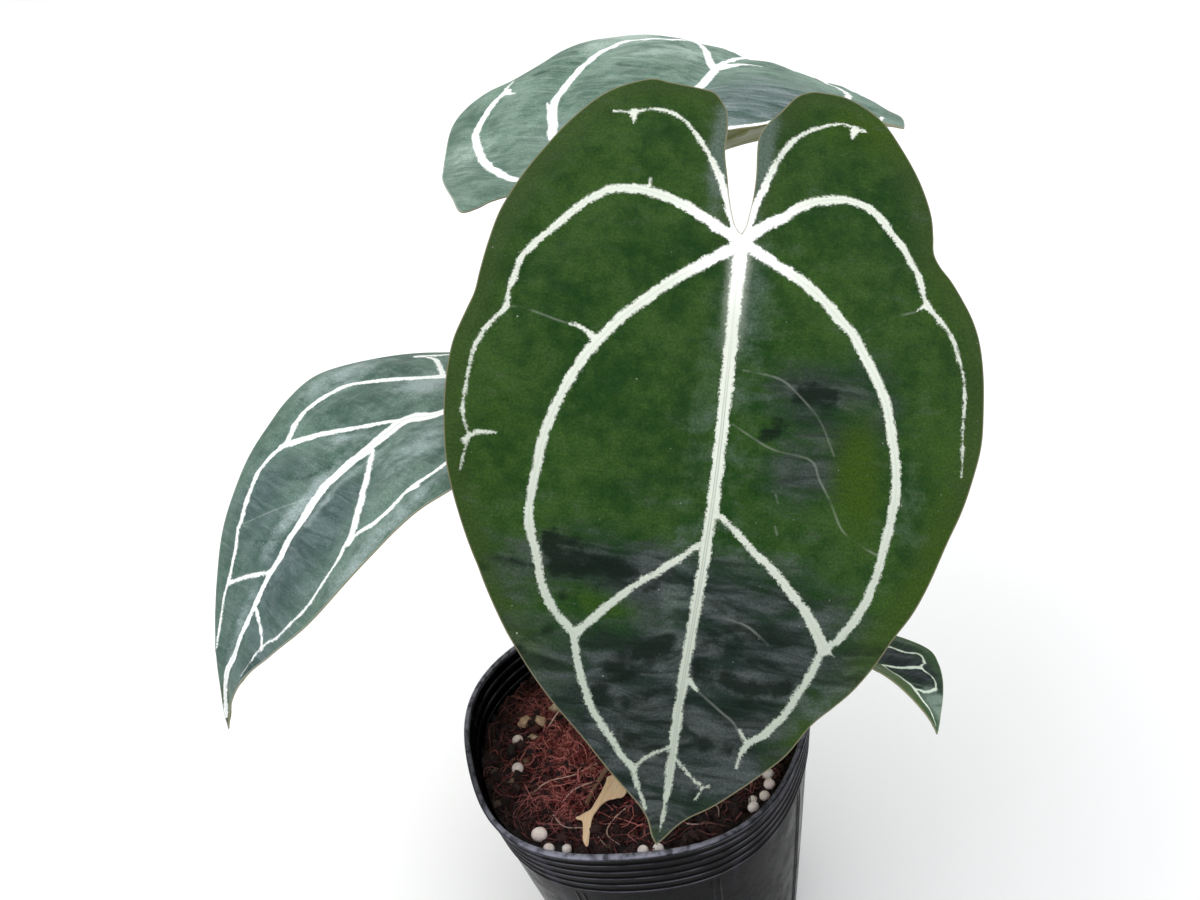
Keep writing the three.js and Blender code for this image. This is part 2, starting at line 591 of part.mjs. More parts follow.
// Triangles between flat points, by adding one point at a time.
function triangulate(points) {
  const far = 1e4;
  const all = [...points, [-far, -far], [far, -far], [0, far]];
  const withCircle = (a, b, c) => {
    const [[ax, ay], [bx, by], [cx, cy]] = [all[a], all[b], all[c]];
    const [px, py, qx, qy] = [bx - ax, by - ay, cx - ax, cy - ay];
    const twice = 2 * (px * qy - py * qx);
    const x = (qy * (px * px + py * py) - py * (qx * qx + qy * qy)) / twice;
    const y = (px * (qx * qx + qy * qy) - qx * (px * px + py * py)) / twice;
    return { corners: [a, b, c], x: ax + x, y: ay + y, square: x * x + y * y };
  };
  const count = points.length;
  let triangles = [withCircle(count, count + 1, count + 2)];
  points.forEach(([x, y], i) => {
    const kept = [];
    const edges = new Map();
    for (const triangle of triangles) {
      if ((x - triangle.x) ** 2 + (y - triangle.y) ** 2 >= triangle.square) {
        kept.push(triangle);
        continue;
      }
      const [a, b, c] = triangle.corners;
      for (const [from, to] of [[a, b], [b, c], [c, a]]) {
        if (!edges.delete(`${to},${from}`)) edges.set(`${from},${to}`, [from, to]);
      }
    }
    for (const [from, to] of edges.values()) kept.push(withCircle(from, to, i));
    triangles = kept;
  });
  return triangles.map((triangle) => triangle.corners).filter((corners) => Math.max(...corners) < count);
}

function insideOutline([x, y], outline) {
  let inside = false;
  outline.forEach(([ax, ay], i) => {
    const [bx, by] = outline[(i + 1) % outline.length];
    if ((ay > y) !== (by > y) && x < ax + ((y - ay) * (bx - ax)) / (by - ay)) inside = !inside;
  });
  return inside;
}

// Distance from a point to a chain of points.
function distanceTo([x, y], chain) {
  let best = Infinity;
  for (let i = 0; i + 1 < chain.length; i += 1) {
    const [[ax, ay], [bx, by]] = [chain[i], chain[i + 1]];
    const [dx, dy] = [bx - ax, by - ay];
    const t = THREE.MathUtils.clamp(((x - ax) * dx + (y - ay) * dy) / (dx * dx + dy * dy || 1), 0, 1);
    best = Math.min(best, Math.hypot(x - ax - t * dx, y - ay - t * dy));
  }
  return best;
}

function smoothChain(points, spacing) {
  const curve = new THREE.SplineCurve(points.map((p) => new THREE.Vector2(...p)));
  const count = Math.max(1, Math.round(curve.getLength() / spacing));
  return curve.getSpacedPoints(count).map((p) => [p.x, p.y]);
}

// Points of one rib: its crest and a foot on each side, at each station.
function ribPoints(chain, halfWidth) {
  const points = [];
  chain.forEach(([x, y], i) => {
    const [ax, ay] = chain[Math.max(0, i - 1)];
    const [bx, by] = chain[Math.min(chain.length - 1, i + 1)];
    const length = Math.hypot(bx - ax, by - ay) || 1;
    const [nx, ny] = [(-(by - ay) / length) * halfWidth, ((bx - ax) / length) * halfWidth];
    points.push({ point: [x, y], crest: 1 });
    points.push({ point: [x + nx, y + ny], crest: 0 }, { point: [x - nx, y - ny], crest: 0 });
  });
  return points;
}

function bladeGeometry(leaf) {
  const { flat, grain, length } = leaf;
  const form = leafForm(leaf);
  const random = seededRandom(11);
  const rightSide = smoothChain([...flat.right, [0, length]], 8 * grain);
  const leftSide = smoothChain([flat.right[0], ...flat.left, [0, length]], 8 * grain);
  const outline = [...rightSide, ...leftSide.slice(1, -1).reverse()];
  const { branches, ...mains } = flat.veins;
  const chains = [...Object.values(mains), ...branches].filter((chain) => chain.length > 1)
    .map((chain) => smoothChain(chain, 9.5 * grain));
  const nodes = outline.map((point) => ({ point, crest: 0 }));
  const closed = [...outline, outline[0]];
  const offer = (node, apart, fromEdge) => {
    const near = nodes.some(({ point }) => Math.hypot(point[0] - node.point[0], point[1] - node.point[1]) < apart);
    if (near || !insideOutline(node.point, outline) || distanceTo(node.point, closed) < fromEdge) return;
    nodes.push(node);
  };
  const halfWidth = 1.6 * Math.sqrt(grain);
  for (const chain of chains) {
    for (const node of ribPoints(chain, halfWidth)) offer(node, 0.93 * halfWidth, 1.3 * halfWidth);
  }
  const pitch = 11 * grain;
  const rows = Math.ceil((length + LOBE_SPAN) / pitch);
  for (let row = 0; row <= rows; row += 1) {
    for (let column = -8; column <= 8; column += 1) {
      const u = (column + (row % 2) / 2) * pitch + 0.5 * random();
      const v = row * 0.87 * pitch - LOBE_SPAN + 0.5 * random();
      offer({ point: [u, v], crest: 0 }, 0.52 * pitch, 0.42 * pitch);
    }
  }
  const jittered = nodes.map(({ point: [u, v] }) => [u + 0.02 * random(), v + 0.02 * random()]);
  const triangles = triangulate(jittered).filter((corners) => {
    const centre = [0, 1].map((k) => corners.reduce((sum, i) => sum + jittered[i][k], 0) / 3);
    return insideOutline(centre, jittered.slice(0, outline.length));
  });
  // The blade swells a little between its ribs and is level at its edge.
  const swell = ([u, v]) => {
    const gap = Math.min(distanceTo([u, v], closed), ...chains.map((chain) => distanceTo([u, v], chain)));
    return 1.5 * grain * (1 - Math.exp(-((gap / (9 * grain)) ** 2)));
  };
  const half = BLADE_THICKNESS / 2;
  const heights = nodes.map(({ point }) => swell(point));
  const upper = nodes.map(({ crest }, i) => form(...jittered[i], heights[i] + half + RIB.top * grain * crest));
  const lower = nodes.map(({ crest }, i) => form(...jittered[i], heights[i] - half - RIB.under * grain * crest));
  const vertices = [...upper, ...lower].map((p) => p.toArray());
  const count = nodes.length;
  const edges = new Set();
  const faces = [];
  for (const [a, b, c] of triangles) {
    faces.push([a, b, c], [a + count, c + count, b + count]);
    for (const [from, to] of [[a, b], [b, c], [c, a]]) edges.add(`${from},${to}`);
  }
  for (const edge of edges) {
    const [from, to] = edge.split(',').map(Number);
    if (edges.has(`${to},${from}`)) continue;
    faces.push([from + count, to + count, to], [from + count, to, from]);
  }
  return geometryFrom(vertices, faces);
}

// A leaf stalk runs from inside the stem to just under the place where its ribs meet.
function stalkPoints(leaf) {
  const form = leafForm(leaf);
  const under = BLADE_THICKNESS / 2 + RIB.under * leaf.grain + CLEARANCE;
  const [knee, end] = [form(0, 0.5, -under - 6 * leaf.grain), form(0, 0.5, -under)].map((p) => p.toArray());
  return [...leaf.stalk, knee, end];
}

function stalkRadius(leaf) {
  const knee = KNEE_RADIUS - STALK_RADIUS * 0.9;
  return (t) => Math.sqrt(leaf.grain) * (STALK_RADIUS * (1.15 - 0.25 * t)
    + knee * smoothStep(0.86, 0.95, t) * (1 - 0.45 * smoothStep(0.97, 1, t)));
}

function stalkGeometry(leaf, extra) {
  return stalk(stalkPoints(leaf), stalkRadius(leaf), 18, 8, extra);
}

// Stem, with the dry sheaths round it and a few roots that run over the mix

const SHEATHS = [[0.5, 27, 0.16], [2.4, 22, 0.2], [4.3, 25, 0.18]];
const ROOTS = [
  [[STEM.x - 3, STEM.y - 3, 94], [-4, -4, 92.6], [-12, -14, 92.6], [-19, -25, 93.4], [-24, -33, 90]],
  [[STEM.x + 3, STEM.y - 3, 93], [17, -4, 92], [26, -10, 92.4], [33, -19, 88.6]],
  [[STEM.x, STEM.y + 4, 92], [0, 22, 89], [-8, 33, 87.6], [-14, 38, 84]],
];

function rootGeometry(points, extra) {
  return stalk(points, (t) => 1.0 - 0.35 * t, 12, 6, extra);
}

function stemCore(extra) {
  const base = groundAt(STEM.x, STEM.y);
  const profile = [
    [0, -STEM.depth - extra], [0.55 * STEM.radius + extra, -STEM.depth - extra], [0.95 * STEM.radius + extra, -8],
    [STEM.radius + extra, 0], [0.92 * STEM.radius + extra, 5], [STEM.radius + extra, 9],
    [0.8 * STEM.radius + extra, STEM.height - 3], [0.45 * STEM.radius + extra, STEM.height + extra],
    [0, STEM.height + 1 + extra],
  ].map(([r, z]) => new THREE.Vector2(r, z));
  return new THREE.LatheGeometry(profile, 10).rotateX(Math.PI / 2).translate(STEM.x, STEM.y, base);
}

function sheathGeometry([turn, height, lean], extra) {
  const base = groundAt(STEM.x, STEM.y);
  return new THREE.ConeGeometry(4.4 + extra, height + 2 * extra, 7, 3)
    .rotateX(Math.PI / 2)
    .scale(1, 0.55 + extra / 4, 1)
    .translate(0, 0, height / 2 - 3)
    .rotateX(lean)
    .rotateZ(turn)
    .translate(STEM.x - 5 * Math.sin(turn), STEM.y + 5 * Math.cos(turn), base);
}

function buildStem() {
  let solid = toSolid(stemCore(0));
  for (const sheath of SHEATHS) solid = solid.add(toSolid(sheathGeometry(sheath, 0)));
  for (const root of ROOTS) solid = solid.add(toSolid(rootGeometry(root, 0)));
  for (const leaf of Object.values(LEAVES)) solid = solid.subtract(toSolid(stalkGeometry(leaf, CLEARANCE)));
  return fromSolid(mainBody(solid));
}

function buildSoil() {
  let solid = toSolid(soilGeometry());
  for (const fibre of coirFibres(seededRandom(5))) solid = solid.add(toSolid(fibre));
  const cutters = [
    stemCore(CLEARANCE),
    ...SHEATHS.map((sheath) => sheathGeometry(sheath, 1.4 * CLEARANCE)),
    ...ROOTS.map((root) => rootGeometry(root, CLEARANCE)),
    ...PRILLS.map((prill) => prillGeometry(prill, CLEARANCE)),
    ...CHIPS.map((chip) => chipGeometry(chip, CLEARANCE)),
    bractGeometry(CLEARANCE),
    ...Object.values(LEAVES).map((leaf) => stalkGeometry(leaf, CLEARANCE)),
  ];
  for (const cutter of cutters) solid = solid.subtract(toSolid(cutter));
  return fromSolid(mainBody(solid));
}

// Materials

function finish(color, roughness) {
  return new THREE.MeshStandardMaterial({ color, roughness, metalness: 0 });
}

const FINISHES = {
  pot: finish(0x16151a, 0.28),
  soil: finish(0x5a2c22, 0.95),
  frontBlade: finish(0x2c4a2c, 0.55),
  greyBlade: finish(0x4a6a5e, 0.5),
  stalk: finish(0x55663a, 0.5),
  stem: finish(0x8a7448, 0.8),
  prill: finish(0xdccfc4, 0.45),
  chip: finish(0xb8926a, 0.85),
  bract: finish(0xd9b98a, 0.7),
};

// Assembly

const group = new THREE.Group();
group.name = 'potted_anthurium';
group.add(meshOf('pot', buildPot(), FINISHES.pot));
group.add(meshOf('soil', buildSoil(), FINISHES.soil));
group.add(meshOf('stem', buildStem(), FINISHES.stem));
for (const [name, leaf] of Object.entries(LEAVES)) {
  const bladeFinish = name === 'front' ? FINISHES.frontBlade : FINISHES.greyBlade;
  group.add(meshOf(`blade_${name}`, bladeGeometry(leaf), bladeFinish));
  group.add(meshOf(`petiole_${name}`, stalkGeometry(leaf, 0), FINISHES.stalk));
}
PRILLS.forEach((prill, i) => group.add(meshOf(`prill_${i + 1}`, prillGeometry(prill, 0), FINISHES.prill)));
CHIPS.forEach((chip, i) => group.add(meshOf(`chip_${i + 1}`, chipGeometry(chip, 0), FINISHES.chip)));
group.add(meshOf('bract', bractGeometry(0), FINISHES.bract));

export default group;
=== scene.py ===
import math

import bpy
import numpy as np
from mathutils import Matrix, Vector
from mathutils.geometry import delaunay_2d_cdt


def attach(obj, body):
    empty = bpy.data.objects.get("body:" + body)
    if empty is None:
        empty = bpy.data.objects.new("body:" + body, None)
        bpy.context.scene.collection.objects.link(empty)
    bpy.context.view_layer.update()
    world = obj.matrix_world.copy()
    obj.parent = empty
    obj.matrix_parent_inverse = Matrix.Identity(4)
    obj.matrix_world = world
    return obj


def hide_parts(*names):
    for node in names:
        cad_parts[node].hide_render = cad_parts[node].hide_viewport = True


# The looks of a young velvet-leaved anthurium in a black nursery pot.
# Sizes are in millimetres until a mesh is made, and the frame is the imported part's.

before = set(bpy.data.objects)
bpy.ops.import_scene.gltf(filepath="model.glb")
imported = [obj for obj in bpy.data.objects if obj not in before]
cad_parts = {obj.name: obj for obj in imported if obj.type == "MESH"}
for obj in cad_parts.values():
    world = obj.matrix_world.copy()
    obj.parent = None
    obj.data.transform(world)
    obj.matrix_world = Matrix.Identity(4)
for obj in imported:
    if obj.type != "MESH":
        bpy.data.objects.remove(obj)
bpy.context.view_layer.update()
MM = 0.001

# Camera, as the photograph was taken: a 1200 x 900 frame, 1200 pixels of focal length
PHOTO_WIDTH = 1200
FOCAL_PX = 1200
SENSOR_WIDTH = 36
CAMERA_PLACE = (0.008, -0.267, 0.377)
CAMERA_PITCH = 33.8
CAMERA_ROLL = -13.1

# Pot and soil, as in the CAD
POT_HEIGHT = 100
RIM_RADIUS = 55
BASE_RADIUS = 40.5
POT_WALL = 1.0
POT_FLOOR = 1.4
SQUEEZE = 1.3
SQUEEZE_TURN = math.radians(137)
RINGS = {"count": 5, "pitch": 3.6, "top": 95, "depth": 0.45, "width": 0.55}
SEAMS = {"count": 8, "half_gap": 0.022, "depth": 0.35, "width": 0.4}
DRAIN = {"count": 5, "radius": 4, "circle": 27}
SOIL_TOP = 90
SOIL_FALL = 0.1
STEM = (6, 8)

rng = np.random.default_rng(7)


# Mesh helpers

def piece(name, vertices, faces, materials, slot, replaced=(), values=None, face_material=None):
    """A new piece from millimetre vertices. values are float or vector attributes at its points."""
    mesh = bpy.data.meshes.new(name)
    mesh.from_pydata((np.asarray(vertices, float) * MM).tolist(), [], [list(map(int, f)) for f in faces])
    for key, data in (values or {}).items():
        kind, field = ("FLOAT", "value") if np.ndim(data) == 1 else ("FLOAT_VECTOR", "vector")
        attribute = mesh.attributes.new(key, kind, "POINT")
        attribute.data.foreach_set(field, np.asarray(data, np.float32).ravel())
    for material in materials:
        mesh.materials.append(material)
    if face_material is not None:
        mesh.polygons.foreach_set("material_index", np.asarray(face_material, np.int32))
    mesh.polygons.foreach_set("use_smooth", [True] * len(mesh.polygons))
    mesh.update()
    made = bpy.data.objects.new(name, mesh)
    bpy.context.scene.collection.objects.link(made)
    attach(made, "root")
    if replaced:
        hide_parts(*replaced)
    return made


def smooth_step(low, high, x):
    t = np.clip((x - low) / (high - low), 0, 1)
    return t * t * (3 - 2 * t)


def bell(x, width):
    return np.exp(-(x / width) ** 2)


def spline(points, spacing):
    """A smooth chain through the points, evenly spaced."""
    p = np.asarray(points, float)
    padded = np.vstack([p[:1], p, p[-1:]])
    t = np.linspace(0, 1, 24, endpoint=False)[:, None]
    fine = []
    for a, b, c, d in zip(padded, padded[1:], padded[2:], padded[3:]):
        fine.append(0.5 * (2 * b + (c - a) * t + (2 * a - 5 * b + 4 * c - d) * t ** 2
                           + (3 * b - a - 3 * c + d) * t ** 3))
    fine = np.vstack([*fine, p[-1:]])
    along = np.concatenate([[0], np.cumsum(np.linalg.norm(np.diff(fine, axis=0), axis=1))])
    at = np.linspace(0, along[-1], max(1, round(along[-1] / spacing)) + 1)
    return np.stack([np.interp(at, along, axis) for axis in fine.T], 1)


def distance_to_chain(points, chain, start=0.0, end=0.0, reach=22.0):
    """Distance from each flat point to a chain, less a half width that runs from start to end.
    No distance is more than reach."""
    best = np.full(len(points), reach)
    count, block_size = len(chain) - 1, 8
    for first in range(0, count, block_size):
        block = chain[first:first + block_size + 1]
        near = ((points > block.min(0) - reach) & (points < block.max(0) + reach)).all(1).nonzero()[0]
        if not len(near):
            continue
        some, least = points[near], best[near]
        for i in range(len(block) - 1):
            a, d = block[i], block[i + 1] - block[i]
            t = np.clip(((some - a) @ d) / max(d @ d, 1e-9), 0, 1)
            gap = np.hypot(*(some - a - t[:, None] * d).T)
            least = np.minimum(least, gap - (start + (end - start) * (first + i + t) / count))
        best[near] = least
    return best


def inside(points, outline):
    odd = np.zeros(len(points), bool)
    x, y = points.T
    for (ax, ay), (bx, by) in zip(outline, np.roll(outline, -1, axis=0)):
        crosses = (ay > y) != (by > y)
        with np.errstate(divide="ignore", invalid="ignore"):
            odd ^= crosses & (x < ax + (y - ay) * (bx - ax) / (by - ay))
    return odd


def ring_faces(rows, count):
    """Quads between closed rings of count vertices each."""
    faces = []
    for i in range(rows - 1):
        for k in range(count):
            a, b = i * count + k, i * count + (k + 1) % count
            faces.append((a, b, b + count, a + count))
    return faces


def tube(points, radius_at, steps, sides, ridge=0.0):
    """A round stalk along a smooth path in space, closed at both ends."""
    chain = spline(points, 1.0)
    pick, rows = np.linspace(0, len(chain) - 1, steps + 1), np.arange(len(chain))
    centres = np.stack([np.interp(pick, rows, axis) for axis in chain.T], 1)
    tangents = np.gradient(centres, axis=0)
    tangents /= np.linalg.norm(tangents, axis=1)[:, None]
    normal = np.cross(tangents[0], (0.3, 0.9, 0.2))
    angles = np.linspace(0, 2 * np.pi, sides, endpoint=False)
    rings = []
    for i, (centre, tangent) in enumerate(zip(centres, tangents)):
        normal = normal - tangent * (normal @ tangent)
        normal /= np.linalg.norm(normal)
        side = np.cross(tangent, normal)
        radius = radius_at(i / steps) * (1 + ridge * np.cos(5 * angles))
        spokes = np.cos(angles)[:, None] * normal + np.sin(angles)[:, None] * side
        rings.append(centre + radius[:, None] * spokes)
    vertices = np.vstack([*rings, centres[:1], centres[-1:]])
    faces = ring_faces(steps + 1, sides)
    first = len(vertices) - 2
    for k in range(sides):
        after = (k + 1) % sides
        faces += [(first, after, k), (first + 1, steps * sides + k, steps * sides + after)]
    return vertices, faces


def skins(top, under, faces):
    """Vertices and faces of a thin sheet: its top, its underside and the wall between them."""
    count = len(top)
    both = [tuple(f) for f in faces] + [tuple(f[::-1] + count) for f in faces]
    wall = [(a, a + count, b + count, b) for a, b in border_of(faces)]
    return np.vstack([top, under]), both + wall


class Heap:
    """Many small closed shapes gathered into one mesh, each with a tone of its own."""

    def __init__(self):
        self.vertices, self.faces, self.tones, self.count = [], [], [], 0

    def add(self, vertices, faces, tone):
        self.vertices.append(vertices)
        self.faces += [tuple(i + self.count for i in f) for f in faces]
        self.tones.append(np.full(len(vertices), tone))
        self.count += len(vertices)

    def piece(self, name, material, slot, replaced=()):
        return piece(name, np.vstack(self.vertices), self.faces, [material], slot, replaced,
                     {"tone": np.concatenate(self.tones)})


def ball(level):
    """Vertices and faces of a unit icosphere."""
    bpy.ops.mesh.primitive_ico_sphere_add(subdivisions=level, radius=1)
    made = bpy.context.object
    vertices = np.array([v.co for v in made.data.vertices])
    faces = [tuple(p.vertices) for p in made.data.polygons]
    bpy.data.objects.remove(made)
    return vertices, faces


def turned(vertices, x, z):
    """Vertices turned about X and then about Z, in radians."""
    cx, sx, cz, sz = math.cos(x), math.sin(x), math.cos(z), math.sin(z)
    about_x = np.array([[1, 0, 0], [0, cx, -sx], [0, sx, cx]])
    about_z = np.array([[cz, -sz, 0], [sz, cz, 0], [0, 0, 1]])
    return vertices @ (about_z @ about_x).T


# Material helpers

class Shader:
    """A node material. Inputs are given by name, as a value or as another node's output."""

    def __init__(self, name):
        self.material = bpy.data.materials.new(name)
        self.material.use_nodes = True
        self.tree = self.material.node_tree
        self.surface = self.tree.nodes["Principled BSDF"]

    def node(self, kind, inputs=None, **settings):
        made = self.tree.nodes.new("ShaderNode" + kind)
        for key, value in settings.items():
            setattr(made, key, value)
        self.feed(made, inputs or {})
        return made

    def feed(self, node, inputs):
        for key, value in inputs.items():
            if isinstance(value, bpy.types.NodeSocket):
                self.tree.links.new(value, node.inputs[key])
            else:
                node.inputs[key].default_value = value

    def attribute(self, name, output="Fac"):
        return self.node("Attribute", attribute_name=name).outputs[output]

    def parts(self, name):
        """The three numbers of a vector attribute."""
        return self.node("SeparateXYZ", {0: self.attribute(name, "Vector")}).outputs

    def place(self):
        """Object coordinates in millimetres."""
        where = self.node("TexCoord").outputs["Object"]
        return self.node("VectorMath", {0: where, 3: 1 / MM}, operation="SCALE").outputs[0]

    def maths(self, operation, a, b=0.0, c=0.0):
        return self.node("Math", {0: a, 1: b, 2: c}, operation=operation).outputs[0]

    def add(self, a, b):
        return self.maths("ADD", a, b)

    def times(self, a, b):
        return self.maths("MULTIPLY", a, b)

    def scaled(self, value, factor, offset):
        return self.maths("MULTIPLY_ADD", value, factor, offset)

    def step(self, value, low, high, start=0.0, end=1.0):
        """A smooth change from start to end, as the value goes from low to high."""
        inputs = {"Value": value, "From Min": low, "From Max": high, "To Min": start, "To Max": end}
        return self.node("MapRange", inputs, interpolation_type="SMOOTHSTEP").outputs[0]

    def noise(self, vector, scale, detail=3.0, roughness=0.55, distortion=0.0):
        inputs = {"Vector": vector, "Scale": scale, "Detail": detail, "Roughness": roughness,
                  "Distortion": distortion}
        return self.node("TexNoise", inputs).outputs["Fac"]

    def stretched(self, vector, scale, offset=(0, 0, 0)):
        return self.node("Mapping", {"Vector": vector, "Scale": scale, "Location": offset}).outputs[0]

    def mix(self, factor, a, b, blend="MIX"):
        made = self.node("Mix", data_type="RGBA", blend_type=blend)
        for socket, value in ((made.inputs[0], factor), (made.inputs[6], a), (made.inputs[7], b)):
            if isinstance(value, bpy.types.NodeSocket):
                self.tree.links.new(value, socket)
            else:
                socket.default_value = value if isinstance(value, (int, float)) else (*value, 1)
        return made.outputs[2]

    def layer(self, under, over, value, low, high, start=0.0, end=1.0):
        """One colour over another, with a share that goes from start to end."""
        return self.mix(self.step(value, low, high, start, end), under, over)

    def bump(self, height, strength, distance):
        inputs = {"Height": height, "Strength": strength, "Distance": distance * MM}
        return self.node("Bump", inputs).outputs[0]

    def finish(self, colour, roughness, normal=None, constants=None):
        """Sets the surface and returns the material."""
        self.feed(self.surface, {"Base Color": colour, "Roughness": roughness, **(constants or {})})
        if normal is not None:
            self.feed(self.surface, {"Normal": normal})
        return self.material
